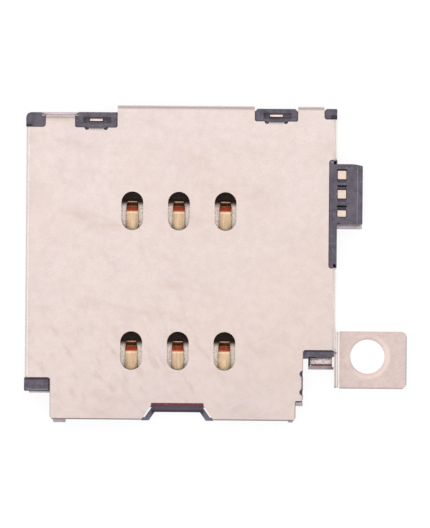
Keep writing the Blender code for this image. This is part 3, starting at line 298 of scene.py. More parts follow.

# %% [markdown]
# ## Plated metal
# The cover is cold rolled strip with a thin dull nickel plate. In the photograph it is a pinkish
# champagne colour, nearly even, with faint tan smudges from handling, short strokes where it
# slid over another part, and the very fine grain of the rolls. A photograph of scratched metal
# would do this too, but noise stretched along one direction gives the strokes at any zoom.
# The cut edge in the mouth notch and two spots beside the ear show the base metal, a dark red
# copper. The bright lines along the folds and the rosy ring at the screw hole are painted
# highlights; the rear bends and the lower right are painted darker as shade.

# %% Places on the cover
relief_x, relief_radius, relief_ys = 6.83, 0.165, (-5.01, -6.005)
notch_mouth = 1.98
# Painted shade on the bends of the rear folds.
rear_bend_shade = [
    strip_across(cover_rear, -0.21, 0.06, left_block_x1 + 0.06, right_block_x0 - 0.03),
    strip_across(cover_rear, -0.21, 0.06, right_block_x1 + 0.02, right_corner_x - 0.03),
    strip_across(left_fold_y, -0.31, -0.09, left_corner_x + 0.02, left_block_x0 - 0.02)]
# Painted highlights along the folds, the ear's bend, and the cover's edge below each tongue.
fold_highlights = [
    strip_up(cover_left, 0.06, 0.14, left_cut_y + 0.065, left_corner_y - 0.04),
    strip_up(cover_right, -0.11, 0.0, right_cut_y + 0.06, column_y0 - 0.05),
    strip_up(cover_right, -0.11, 0.0, column_y1 + 0.06, right_corner_y - 0.03),
    strip_up(ear_wall_x, -0.03, 0.13, ear_y0 + 0.02, ear_y1 - 0.03)]
fold_highlights += [
    strip_across(right_block_y, -0.11, -0.01, tongues[1][0] - 0.355, tongues[1][0] + 0.355),
    strip_across(left_block_y, -0.11, -0.01, tongues[0][0] - 0.36, tongues[0][0] + 0.36)]
shaded_rims = [
    strip_up(cover_left, -0.07, 0.01, left_cut_y + 0.005, left_corner_y),
    strip_up(left_cut_x, -0.03, 0.035, cover_mouth + 0.075, left_cut_y - 0.025),
    strip_up(right_cut_x, -0.04, 0.03, relief_ys[0] + 0.13, right_cut_y - 0.06),
    strip_up(cover_right, 0.0, 0.03, ear_y0 + 0.10, right_cut_y - 0.04),
    strip_up(ear_end, -0.05, 0.03, ear_y0 + 0.20, ear_y1 - 0.23),
    strip_across(ear_y0, -0.03, 0.065, ear_wall_x + 0.15, ear_end - 0.20)]
side_rims = [
    strip_up(right_cut_x, -0.075, 0.03, relief_ys[1] - 0.115, relief_ys[0] + 0.11),
    strip_up(right_cut_x, -0.05, 0.03, step_y + 0.06, relief_ys[1] - 0.095),
    strip_up(step_x, -0.04, 0.035, cover_mouth + 0.155, step_y - 0.04)]
mouth_rims = [
    strip_across(cover_mouth, -0.045, 0.06, left_cut_x + 0.10, -notch_mouth),
    strip_across(cover_mouth, -0.045, 0.06, notch_mouth, step_x - 0.065)]
red_spots = [
    strip_across(right_cut_y, -0.19, -0.115, ear_wall_x - 0.145, ear_wall_x - 0.01),
    strip_across(ear_y0, 0.06, 0.11, ear_wall_x - 0.145, ear_wall_x - 0.01)]
print("places on the cover:", len(rear_bend_shade + fold_highlights + shaded_rims + side_rims + mouth_rims
                                  + red_spots))


# %% Wear on the cover
def worn(made, tone, down):
    """Tone with smudges, short strokes at the lower left, scratches and the grain of the rolls."""
    smudge = made.span(made.grain(0.8, 4.0, (2.2, 0.9, 1.0), -14.0, 3.0), 0.50, 0.74, 0.0, 0.40)
    smudge = made.join(smudge, made.span(made.axis("X"), 6.0, -3.0, 0.35, 1.0), "MULTIPLY")
    tone = made.blend(smudge, tone, screen("#d0beb0"))
    strokes = made.span(made.grain(1.9, 3.0, (2.2, 0.8, 1.0), -58.0, 11.0), 0.51, 0.72, 0.0, 0.44)
    region = made.join(made.span(made.grain(0.16, 1.0, shift=4.0), 0.44, 0.60),
                       made.span(down, -4.0, 3.0, 0.25, 1.0), "MULTIPLY")
    region = made.join(region, made.span(made.axis("X"), 5.0, 1.0, 0.25, 1.0), "MULTIPLY")
    tone = made.blend(made.join(strokes, region, "MULTIPLY"), tone, screen("#c9b8a9"))
    scratch = made.grain(2.2, 0.0, (7.0, 0.16, 1.0), 24.0, 19.0)
    tone = made.blend(made.span(scratch, 0.74, 0.82, 0.0, 0.16), tone, screen("#f6ece8"))
    fine = made.grain(13.0, 2.0, (1.6, 1.0, 1.0), 10.0)
    return made.blend(made.span(fine, 0.3, 0.7, 0.0, 0.22), tone, screen("#cbbab4"))


def ear_tone_and_hole_highlight(made, tone):
    """Tone with a duller, mottled ear, and a painted highlight: a rosy ring right and below of its
    screw hole.
    """
    low = made.span(made.axis("Z"), 0.45, 0.20)
    mottle = made.grain(9.0, 3.0, (1.5, 0.8, 1.0), 35.0, 6.0)
    ear = made.blend(made.span(mottle, 0.35, 0.68), screen("#d8c6bf"), screen("#d0bcb5"))
    tone = made.blend(made.join(low, 0.85, "MULTIPLY"), tone, ear)
    # Painted highlight: the countersink is painted rosy right of and below the hole.
    near = made.span(made.away(hole_x, hole_y), hole_radius + 0.40, hole_radius + 0.18)
    slope = 0.6
    aside = made.join(made.axis("X"), made.join(made.axis("Y"), -slope, "MULTIPLY"))
    middle = hole_x - slope * hole_y
    ring = made.join(near, made.span(aside, middle - 0.7, middle + 0.9, 0.15, 0.8), "MULTIPLY")
    return made.blend(made.join(ring, low, "MULTIPLY"), tone, screen("#eed7d1"))


print("wear and ear ready")


# %% Cover nickel
def make_cover_nickel():
    """Dull champagne nickel with its wear and edges, painted shade to the lower right and on the
    rear bends, and painted highlights on the folds.
    """
    made = Finish("cover_nickel_plate", 0.40, 1.0)
    down = made.join(made.join(made.axis("X"), 0.35, "MULTIPLY"), made.axis("Y"), "SUBTRACT")
    # Painted shade: the sheet is painted darker towards the lower right.
    tone = made.blend(made.span(down, -8.0, 3.0), screen("#e9dad6"), screen("#e4d4cf"))
    tone = made.blend(made.span(down, 2.0, 9.0), tone, screen("#d8c8c5"))
    patches = made.grain(0.22, 3.0)
    tone = made.blend(made.span(patches, 0.42, 0.66, 0.0, 0.45), tone, screen("#e3d2c9"))
    rosy = made.grain(0.5, 2.0, shift=7.0)
    tone = made.blend(made.span(rosy, 0.45, 0.75, 0.0, 0.45), tone, screen("#e2cfcf"))
    tone = ear_tone_and_hole_highlight(made, worn(made, tone, down))
    # Painted shade on the rear bends.
    tone = made.painted(tone, "#d0beb8", rear_bend_shade, 0.03, 0.34)
    # Painted highlights along the folds.
    tone = made.painted(tone, "#fffaf7", fold_highlights, 0.03, 0.85)
    tone = made.painted(tone, "#8f8288", shaded_rims, 0.012, 0.6)
    tone = made.painted(tone, "#75696e", mouth_rims, 0.02, 0.9)
    tone = made.painted(tone, "#665c68", side_rims, 0.02, 0.8)
    for relief_y in relief_ys:
        relief = made.span(made.away(relief_x, relief_y), relief_radius + 0.04, relief_radius)
        tone = made.blend(relief, tone, screen("#5d5561"))
    tone = made.painted(tone, "#8c2f2a", red_spots, 0.015, 0.8)
    made.colour(tone)
    made.roughness(made.span(made.grain(2.5, 3.0, shift=2.0), 0.3, 0.7, 0.38, 0.46))
    made.bump(made.grain(0.35, 2.0, shift=5.0), 0.003 * MM)
    made.bump(made.grain(24.0, 2.0), 0.0010 * MM)
    return made.material


cover_nickel = make_cover_nickel()
print("made", cover_nickel.name)


# %% Bare copper edge
def make_copper_edge():
    """The base metal at a cut edge: wine red with a torn grain across the thickness."""
    made = Finish("bare_copper_edge", 0.42, 1.0)
    torn = made.grain(16.0, 2.0, (1.0, 1.0, 3.0))
    made.colour(made.blend(made.span(torn, 0.35, 0.65), screen("#7c3032"), screen("#a2585a")))
    made.bump(torn, 0.003 * MM)
    return made.material


copper_edge = make_copper_edge()
print("made", copper_edge.name)


# %% [markdown]
# ## The plate's steel
# The lower plate is stamped from bright plated steel. Under the windows its skin is finely pitted,
# and painted shade darkens it behind each row of springs. Round the edge it is a smooth lilac
# grey.
# All of it could be painted from one photograph. Rules in millimetres say the same in a few lines,
# and a rule that wraps round at the row spacing serves both rows.

# %% Places on the plate
pad_x0, pad_x1, pad_y0, pad_y1 = 7.24, 8.42, -4.52, -4.10
silver_pad = (pad_x0 - 0.01, pad_x1 + 0.04, pad_y0, pad_y1 + 0.02)
# Painted highlights on the tops of the tongues, seen in the slits.
tongue_top_highlights = [strip_across(front, -0.05, 0.20, x - reach, x + reach)
               for (x, front), reach in zip(tongues, (tongue_half + 0.04, tongue_half + 0.045))]
foot_shadows = [
    strip_across(pad_y1, -0.07, 0.04, pad_x0 - 0.14, pad_x0 + 0.30),
    strip_up(pad_x0, -0.14, -0.015, pad_y0 - 0.08, pad_y1),
    strip_across(pad_y0, -0.055, -0.01, pad_x0 + 0.06, pad_x1 + 0.03)]
foot_front = [strip_across(pad_y0, -0.30, -0.06, pad_x0 - 0.14, pad_x1 + 0.13)]
foot_stain = [strip_across(pad_y0, -0.28, -0.08, pad_x1 - 0.27, pad_x1 + 0.18)]
step_shadow = [strip_across(step_y, -0.10, 0.02, step_x - 0.005, right_cut_x + 0.02)]
switch_foot = [strip_across(switch_y, low, high, cover_right - 0.05, 9.90)
               for low, high in ((-0.11, 0.03), (-0.29, -0.22))]
print("places on the plate:",
      len(tongue_top_highlights + foot_shadows + foot_front + foot_stain + step_shadow + switch_foot))


# %% Painted shade behind the springs
def painted_slot_shade(made, under_windows):
    """Where painted shade darkens the flat of the plate: from each row's middle to the window's
    end.
    """
    from_row = made.join(made.axis("Y"), -row_spacing / 2)
    wrap = made.tree.nodes.new("ShaderNodeMath")
    wrap.operation = "WRAP"
    made.wire(from_row, wrap.inputs[0])
    wrap.inputs[1].default_value = row_spacing / 2
    wrap.inputs[2].default_value = -row_spacing / 2
    place = wrap.outputs["Value"]
    slot_shade = made.join(made.span(place, 0.14, 0.52), made.span(place, 1.6, 1.4), "MULTIPLY")
    slot_shade = made.join(slot_shade, under_windows, "MULTIPLY")
    slot_shade = made.join(slot_shade, made.span(made.axis("Z"), 0.09, 0.13), "MULTIPLY")
    return made.join(slot_shade, made.span(made.axis("Z"), 0.25, 0.20), "MULTIPLY")


print("film ready")


# %% Plate steel
def make_plate_steel():
    """The lower plate: warm and pitted under the windows, smooth lilac grey around them."""
    made = Finish("plate_steel_pressed", 0.24, 1.0)
    coarse = made.grain(6.0, 2.0)
    cloud = made.span(made.grain(1.6, 3.0, shift=3.0), 0.35, 0.65)
    tone = made.blend(cloud, screen("#b3a7ae"), screen("#c5bbc1"))
    pitted = made.blend(made.span(coarse, 0.3, 0.7), screen("#efded2"), screen("#fff3e9"))
    pits = made.span(made.grain(11.0, 1.0, shift=6.0), 0.58, 0.74, 0.0, 0.22)
    pitted = made.blend(pits, pitted, screen("#9c8d83"))
    under_windows = made.patch(*windows_field, 0.2, 1.0)
    tone = made.blend(under_windows, tone, pitted)
    silver = made.span(made.grain(9.0, 3.0, shift=12.0), 0.30, 0.60)
    silver = made.blend(silver, screen("#b6a8a8"), screen("#e2d5d2"))
    tone = made.blend(made.patch(*silver_pad, 0.01, 1.0), tone, silver)
    standing = made.blend(cloud, screen("#cbbdc2"), screen("#d6cace"))
    lying = made.span(made.axis("Z"), 0.45, 0.30)
    tone = made.blend(made.join(1.0, lying, "SUBTRACT"), tone, standing)
    # Painted highlight on the tongue tops.
    tone = made.painted(tone, "#f4e2db", tongue_top_highlights, 0.03, 1.0)
    tone = made.painted(tone, "#8d7a80", foot_front, 0.02, 0.75)
    tone = made.painted(tone, "#5d3a35", foot_stain, 0.14, 0.5)
    tone = made.painted(tone, "#5b5058", step_shadow, 0.02, 0.85)
    tone = made.painted(tone, "#7f7277", switch_foot, 0.02, 0.6)
    tone = made.painted(tone, "#191310", foot_shadows, 0.012, 0.95)
    # Painted shade at the dark end of each slot.
    tone = made.blend(painted_slot_shade(made, under_windows), tone, screen("#33241d"))
    made.colour(tone)
    made.roughness(made.span(coarse, 0.3, 0.7, 0.26, 0.36))
    made.bump(made.join(coarse, under_windows, "MULTIPLY"), 0.0015 * MM)
    return made.material


plate_steel = make_plate_steel()
print("made", plate_steel.name)

# %% [markdown]
# ## Moulded plastic
# The housing is a glass filled polymer, moulded dark violet grey. Its skin is a little uneven,
# pale specks of filler show in it, and deep pockets look nearly black because little light
# reaches them. Most of that shadow is left to the renderer. The finish paints the rest of it:
# dark brown shade on the card channel's floor, shade in the darkest corners, recesses and seams
# beside the cover, light and shade on the sill, and highlights on a few ridges and in a hollow.

# %% Places on the moulding
block_ridge_x, hollow_x, hollow_y = 9.72, 8.335, 6.55
# Painted shade in the darkest corners beside the cover.
corner_shade = [
    strip_across(left_corner_y, 0.0, 0.16, cover_left - 0.03, cover_left + 0.31),
    strip_across(right_corner_y, -0.03, 0.25, cover_right - 0.35, cover_right),
    strip_across(switch_y, 0.0, 0.09, cover_right + 0.02, cover_right + 0.18)]
# Painted shade in the recesses beside the tongues.
recess_shade = [(-5.26, -4.95, 8.72, 8.98), (-4.13, -3.82, 8.72, 8.98),
          (4.58, 4.87, 9.04, 9.30), (5.68, 5.97, 9.04, 9.30)]
# Painted shadows on the moulding along the cover's cut edges.
seam_shadows = [
    strip_across(left_cut_y, -0.135, 0.025, cover_left + 0.03, left_cut_x + 0.02),
    strip_across(left_cut_foot, -0.03, 0.04, cover_left + 0.03, left_cut_x + 0.02),
    strip_up(left_cut_x, -0.10, 0.02, left_cut_foot, left_cut_y + 0.005),
    strip_across(right_cut_y, -0.10, 0.04, right_cut_x + 0.08, cover_right - 0.08)]
# Painted light and shade on the sill: legs and back painted lighter, front darker; the legs and
# back are also a little more violet.
sill_front_shade = [strip_across(sill_y, -0.06, 0.14, -sill_half, sill_half)]
sill_back_light = [strip_across(sill_y, 0.11, 0.46, -sill_half, sill_half)]
sill_leg_light = [strip_up(side * 1.86, -0.44, 0.44, sill_y - 0.54, sill_y + 0.28)
             for side in (-1, 1)]
# Painted highlights: a light line by the left cut, a ridge on the switch block with a glint, and a
# glint in the column's hollow.
ridge_highlights = [
    strip_across(left_cut_foot, 0.06, 0.115, cover_left + 0.11, left_cut_x - 0.08),
    strip_up(block_ridge_x, -0.015, 0.015, switch_y + 0.08, 6.35),
    strip_up(block_ridge_x, -0.03, 0.03, 4.86, 4.94),
    strip_up(hollow_x, -0.065, 0.065, hollow_y - 0.06, hollow_y + 0.06)]
print("places on the moulding:", len(corner_shade + recess_shade + seam_shadows + sill_front_shade + sill_back_light
                                     + sill_leg_light + ridge_highlights))


# %% Housing plastic
def make_housing_plastic():
    """Violet grey moulded plastic with pale specks, painted brown shade on the floor, and painted
    light and shade in places.
    """
    made = Finish("housing_plastic_moulded", 0.50)
    made.shader.inputs["Specular IOR Level"].default_value = 0.30
    cloud = made.grain(1.6, 4.0, rough=0.6)
    tone = made.blend(made.span(cloud, 0.30, 0.70), screen("#57515d"), screen("#6c6572"))
    mottled = made.grain(6.0, 3.0, shift=4.0)
    tone = made.blend(made.span(mottled, 0.52, 0.75, 0.0, 0.6), tone, screen("#79727f"))
    dull = made.grain(2.6, 2.0, shift=13.0)
    tone = made.blend(made.span(dull, 0.54, 0.70, 0.0, 0.7), tone, screen("#4e4753"))
    specks = made.span(made.grain(11.0, 0.0, shift=9.0), 0.77, 0.85, 0.0, 0.45)
    tone = made.blend(specks, tone, screen("#b3aab0"))
    # Painted shade: the card channel's floor, deep under the cover, is painted dark brown.
    low = made.join(made.span(made.axis("Z"), 0.60, 0.48),
                    made.patch(*channel_inside, 0.1, 1.0), "MULTIPLY")
    tone = made.blend(low, tone, screen("#331c12"))
    top = made.span(made.axis("Z"), 0.95, 1.10)
    tone = made.painted(tone, "#1e191f", corner_shade, 0.04, 0.8, top)
    tone = made.painted(tone, "#2f2831", recess_shade, 0.08, 0.22, top)
    tone = made.painted(tone, "#322630", seam_shadows, 0.02, 0.8, top)
    tone = made.painted(tone, "#877d90", sill_leg_light, 0.08, 0.85)
    tone = made.painted(tone, "#7d6a84", sill_back_light, 0.05, 0.55)
    tone = made.painted(tone, "#402f46", sill_front_shade, 0.06, 0.7)
    tone = made.painted(tone, "#a39ba8", ridge_highlights, 0.012, 0.55, top)
    made.colour(tone)
    made.roughness(made.span(cloud, 0.3, 0.7, 0.42, 0.56))
    made.bump(mottled, 0.010 * MM)
    made.bump(made.grain(20.0, 1.0), 0.003 * MM)
    return made.material


housing_plastic = make_housing_plastic()
print("made", housing_plastic.name)

# %% [markdown]
# ## Gold
# The springs and the switch terminals carry gold over nickel. On a spring, the back of the beam is
# satin with fine lines along it. The bow that wipes over the card gets a painted highlight, the
# tip that curls down and away from the light a painted reflection, red and then brown, and the
# beam's lower end is painted a little lighter. That change follows the strip, so it is read from a
# number kept on the mesh, the distance from the middle of the slot, and not from the place in the
# room.

# %% Spring gold
def make_spring_gold():
    """Gold with painted highlight and reflection that follow the number called along, in mm from
    the slot's middle.
    """
    made = Finish("contact_gold_plate", 0.40, 1.0)
    attribute = made.tree.nodes.new("ShaderNodeAttribute")
    attribute.attribute_name = "along"
    wander = made.span(made.grain(9.0, 1.0), 0.0, 1.0, -0.02, 0.02, smooth=False)
    along = made.join(attribute.outputs["Fac"], wander)
    ramp = made.tree.nodes.new("ShaderNodeValToRGB")
    made.wire(made.span(along, -1.0, 0.7, smooth=False), ramp.inputs["Fac"])
    # Along the strip: the lower end painted lighter, gold, a painted highlight on the bow, then
    # painted reflection in red and brown, and the gold of the lip.
    gold_and_painted_reflections = [(-0.95, "#f6dcb8"), (-0.70, "#e8caa9"), (-0.14, "#e4c3a4"), (-0.11, "#f8dfbf"),
             (-0.05, "#f4d6b2"), (-0.02, "#c08a5c"), (0.02, "#ae6a48"), (0.05, "#a93628"),
             (0.24, "#9e3124"), (0.265, "#c98a66"), (0.285, "#6b4430"), (0.475, "#5c3a26"),
             (0.495, "#eec69c")]
    stops = ramp.color_ramp.elements
    while len(stops) < len(gold_and_painted_reflections):
        stops.new(0.5)
    for stop, (place, colour) in zip(stops, gold_and_painted_reflections):
        stop.position = (place + 1.0) / 1.7
        stop.color = screen(colour)
    lines = made.grain(10.0, 2.0, (8.0, 1.0, 1.0), 90.0, 2.0)
    tone = made.blend(made.span(lines, 0.35, 0.75, 0.0, 0.22), ramp.outputs["Color"],
                      screen("#c79d78"))
    worn = made.grain(5.0, 2.0, shift=8.0)
    tone = made.blend(made.span(worn, 0.55, 0.75, 0.0, 0.10), tone, screen("#b07a55"))
    made.colour(tone)
    made.roughness(made.span(lines, 0.3, 0.7, 0.38, 0.50))
    made.bump(lines, 0.0012 * MM)
    return made.material


spring_gold = make_spring_gold()
print("made", spring_gold.name)


# %% Terminal gold
def make_terminal_gold():
    """Pale matt gold of the switch terminals."""
    made = Finish("pad_gold_plate", 0.36, 1.0)
    cloud = made.grain(3.0, 3.0)
    tone = made.blend(made.span(cloud, 0.3, 0.7), screen("#e2cabc"), screen("#eedccf"))
    grain = made.grain(15.0, 2.0)
    tone = made.blend(made.span(grain, 0.55, 0.75, 0.0, 0.35), tone, screen("#cba988"))
    made.colour(tone)
    made.roughness(made.span(cloud, 0.3, 0.7, 0.30, 0.42))
    made.bump(grain, 0.0015 * MM)
    return made.material


terminal_gold = make_terminal_gold()
print("made", terminal_gold.name)

# %% [markdown]
# ## A CAD solid made fit for a close look
# A CAD solid has edges without any width, and such an edge never catches the light. The real
# sheet was sheared, which rounds its upper rim, and the moulding has small radii everywhere.
# One could model these again from nothing. Copying the solid, joining its loose triangles into
# whole faces and bevelling the sharp edges keeps it exactly where the CAD says and is safer.
# The bevel works in millimetres here, because it ignores lengths near a thousandth of a unit.

# %% Shade the flats flat
def keep_flats_flat(made):
    """Smooth shading that bends only on the bevels: wide faces decide the normals."""
    made.data.shade_smooth()
    made.data.set_sharp_from_angle(angle=math.radians(50))
    weigh = made.modifiers.new("wide_faces_decide", "WEIGHTED_NORMAL")
    weigh.mode = "FACE_AREA"
    weigh.weight = 100
    weigh.keep_sharp = True


print("flat faces stay flat")


# %% Hand a mesh over to the frame
def finished(work, name, finishes, node):
    """An object from a bmesh in metres, which stands for a CAD node and rides on its body."""
    mesh = bpy.data.meshes.new(name)
    work.to_mesh(mesh)
    work.free()
    made = bpy.data.objects.new(name, mesh)
    bpy.context.scene.collection.objects.link(made)
    for finish in finishes:
        mesh.materials.append(finish)
    keep_flats_flat(made)
    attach(made, frame["nodes"][node]["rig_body"])
    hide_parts(node)
    print(name, len(mesh.polygons), "faces")
    return made


print("finished pieces ride on their bodies")


# %% Copy a CAD solid and bevel it
def join_triangles(work):
    """Turn a CAD node's loose triangles, in mm, into whole faces of the first finish."""
    nearest, flat_angle = 0.0002, math.radians(1.0)
    bmesh.ops.remove_doubles(work, verts=work.verts, dist=nearest)
    bmesh.ops.dissolve_limit(work, angle_limit=flat_angle, verts=work.verts, edges=work.edges)
    for face in work.faces:
        face.material_index = 0


def sharp_edges(work, angle=30.0):
    """The edges that turn by more than an angle."""
    return [edge for edge in work.edges if len(edge.link_faces) == 2
            and edge.calc_face_angle(0.0) > math.radians(angle)]


def refined_copy(node, name, finishes, width, steps, marked=()):
    """A copy of a CAD node with whole faces and bevelled edges, ready to stand for the node.

    marked is a list of boxes in mm, each with a width: the sharp edges inside a box get that
    width and the second finish, which is how a bare cut edge shows."""
    work = bmesh.new()
    work.from_mesh(frame["nodes"][node].data)
    bmesh.ops.scale(work, vec=(1 / MM,) * 3, verts=work.verts)
    join_triangles(work)
    for low, high, bare in marked:
        chosen = []
        for edge in sharp_edges(work):
            middle = (edge.verts[0].co + edge.verts[1].co) / 2
            if all(low[i] <= middle[i] <= high[i] for i in range(3)):
                chosen.append(edge)
        bmesh.ops.bevel(work, geom=chosen, offset=bare, offset_type="OFFSET", segments=1,
                        profile=0.5, affect="EDGES", clamp_overlap=False, material=1)
    rest = [edge for edge in sharp_edges(work)
            if all(face.material_index == 0 for face in edge.link_faces)]
    bmesh.ops.bevel(work, geom=rest, offset=width, offset_type="OFFSET", segments=steps,
                    profile=0.5, affect="EDGES", clamp_overlap=True, material=-1)
    bmesh.ops.scale(work, vec=(MM,) * 3, verts=work.verts)
    return finished(work, name, finishes, node)


print("copies can be refined")


# %% [markdown]
# ## The cover
# The cover comes from one copy. The cut edge in its mouth notch shows bare copper, so that edge
# gets a wider bevel in the second finish. The other rims are rounded by about two hundredths of a
# millimetre, as shearing rounds them.

# %% Cover sheet
notch_edge = ((-1.46, -6.80, 1.40), (1.46, -6.70, 1.50), 0.10)
refined_copy("cover_shell", "cover_sheet", [cover_nickel, copper_edge], 0.022, 3,
             [notch_edge])

# %% [markdown]
# ## The base plate
# The plate lies below the moulding, and little of its rim shows, so a smaller rounding is enough.
# Its two upright tongues reach through slits in the rear blocks, where only their bright tops and
# the copper of their corners can be seen. The pad on its foot, in the right cut-out, has a copper
# edge in front too.

# %% Base plate
top_edge, pad_edge = 0.024, 0.05
bare_places = [((x - 0.42, front - 0.08, 1.10), (x + 0.42, front + 0.27, 1.30), top_edge)
               for x, front in tongues]
bare_places.append(((pad_x0 - 0.04, pad_y0 - 0.04, 0.25), (pad_x1 + 0.08, pad_y0 + 0.04, 0.32),
                    pad_edge))
base_plate = refined_copy("bottom_plate", "base_plate", [plate_steel, copper_edge],
                          0.012, 2, bare_places)

# %% [markdown]
# ## The moulding
# The housing is one copy with all its edges rounded alike. A radius of its own for each edge would
# be truer to a mould, and at a few hundredths of a millimetre nobody would see it.

# %% Moulding
moulding = refined_copy("housing", "moulding", [housing_plastic], 0.02, 2)


# %% [markdown]
# In front of each tongue the CAD pocket leaves room for the tongue's bend far below. At the top
# the real moulding closes on the tongue, so three small bevelled lips are added to the moulding
# there, and a bead that closes the block against the cover's edge.

# %% Lips at the tongues
def add_lip(made, x0, x1, y0, y1, z0, z1, round_edge=0.012):
    """A small bevelled block added to a piece, in mm."""
    work = bmesh.new()
    work.from_mesh(made.data)
    block = bmesh.ops.create_cube(work, size=1.0)["verts"]
    size = Vector((x1 - x0, y1 - y0, z1 - z0))
    bmesh.ops.scale(work, vec=size, verts=block)
    bmesh.ops.translate(work, vec=((x0 + x1) / 2, (y0 + y1) / 2, (z0 + z1) / 2), verts=block)
    rims = list({edge for vertex in block for edge in vertex.link_edges})
    bevelled = bmesh.ops.bevel(work, geom=rims, offset=round_edge, offset_type="OFFSET",
                               segments=2, profile=0.5, affect="EDGES", clamp_overlap=True,
                               material=-1)
    touched = {vertex for vertex in block if vertex.is_valid} | set(bevelled["verts"])
    bmesh.ops.scale(work, vec=(MM,) * 3, verts=list(touched))
    work.to_mesh(made.data)
    work.free()


wall = 0.04
lip_low, lip_high = 0.60, 1.16
bead_low, bead_high = 1.22, 1.396
for (middle, front), cover_edge in zip(tongues, (left_block_y, right_block_y)):
    x0, x1 = middle - tongue_half, middle + tongue_half
    add_lip(moulding, x0 - wall, x1 + wall, front - 0.135, front - 0.005, lip_low, lip_high)
    add_lip(moulding, x0 - wall, x0 - 0.003, front - 0.10, front + 0.20, lip_low, lip_high)
    add_lip(moulding, x1 + 0.003, x1 + wall, front - 0.10, front + 0.20, lip_low, lip_high)
    add_lip(moulding, x0 - 0.14, x1 + 0.14, cover_edge - 0.055, cover_edge + 0.07,
            bead_low, bead_high)
print("lips closed round two tongues")

# %% [markdown]
# The plate's upstand at the rear left stands a hair behind the cover's fold. On the real part the
# two lie against each other, so three thin strips close the line between them.

# %% Strips at the upstand
upstand_y, strip_low, strip_high = 9.03, 0.80, 1.045
for x0, x1, y0 in ((-7.30, -5.70, 8.993), (-7.49, -7.31, 8.955), (-5.69, -5.53, 8.955)):
    add_lip(base_plate, x0, x1, y0, upstand_y, strip_low, strip_high, 0.008)
print("upstand closed against the fold")

# %% [markdown]
# ## The switch
# Three stamped terminals sit in the block at the side: a leaf that the card pushes, the stop that
# it meets, and a third one. Only their pads show. They are copies of the CAD solids too, with the
# rounded rims of a stamped strip.

# %% Switch terminals
for node, name in (("detect_leaf", "leaf_spring"), ("detect_contact", "leaf_stop"),
                   ("ground_terminal", "third_terminal")):
    refined_copy(node, name, [terminal_gold], 0.012, 2)

# %% [markdown]
# ## The contact springs
# Each spring is one narrow strip, stamped and bent: a foot for solder, two ears trapped in the
# moulding, a beam that rises to a wiping bow, and a tip that curls down again and ends in a
# short level lip. The strip narrows to its bow. The strip's side view is drawn once, given its
# width by extruding it along X, and then narrowed. The same mesh made six times would do, but
# each spring rides on its own body, so each has its own mesh in its own place.

# %% Contact spring
contact_reach = 2.12
strip_thick = 0.12
root_wide, bow_wide, foot_wide = 0.80, 0.655, 0.44
ear_wide, ear_long = 1.40, 0.17
pivot_high, rise = 0.31, 0.57
rim_round = 0.014


def spring_line():
    """The middle line of the strip in mm, y from the slot's middle, from foot to lip."""
    root = -contact_reach
    foot = strip_thick / 2
    top = pivot_high + rise
    return [(root - 0.65, foot), (root - 0.34, foot), (root - 0.28, foot + 0.012),
            (root - 0.235, foot + 0.05), (root - 0.17, pivot_high - 0.045),
            (root - 0.13, pivot_high - 0.010), (root - 0.07, pivot_high),
            (root + 0.08, pivot_high), (root + 0.14, pivot_high + 0.014),
            (root + 0.22, pivot_high + 0.052), (root + 0.60, pivot_high + 0.295),
            (root + 0.76, pivot_high + 0.385), (root + 0.88, pivot_high + 0.438),
            (root + 1.00, pivot_high + 0.466), (root + 1.14, pivot_high + 0.480),
            (-0.50, top - 0.056), (-0.28, top - 0.026),
            (-0.14, top - 0.006), (-0.08, top), (-0.03, top - 0.004), (0.02, top - 0.018),
            (0.14, top - 0.052), (0.25, top - 0.088), (0.29, top - 0.110), (0.34, top - 0.140),
            (0.40, top - 0.170), (0.46, top - 0.186), (0.53, top - 0.188)]


def strip_width(y):
    """The width of the strip at a distance from the slot's middle, in mm."""
    if y < -contact_reach - 0.15:
        return foot_wide
    if y > 0.20:
        return bow_wide - 0.10 * min((y - 0.20) / 0.25, 1.0)
    share = min(max((y + contact_reach) / contact_reach, 0.0), 1.0)
    return root_wide + (bow_wide - root_wide) * share


def side_view(work):
    """The strip's side view as faces in a new bmesh, at x 0: the middle line made thick."""
    line = spring_line()
    upper, lower = [], []
    for index, (py, pz) in enumerate(line):
        before = Vector(line[max(index - 1, 0)])
        after = Vector(line[min(index + 1, len(line) - 1)])
        side = (after - before).normalized()
        out = Vector((-side.y, side.x)) * (strip_thick / 2)
        upper.append(work.verts.new((0.0, py + out.x, pz + out.y)))
        lower.append(work.verts.new((0.0, py - out.x, pz - out.y)))
    for index in range(len(line) - 1):
        work.faces.new((upper[index], upper[index + 1], lower[index + 1], lower[index]))


def round_rims(work, edges):
    """Round the rims of a stamped strip."""
    bmesh.ops.bevel(work, geom=edges, offset=rim_round, offset_type="OFFSET", segments=2,
                    profile=0.5, affect="EDGES", clamp_overlap=True, material=-1)


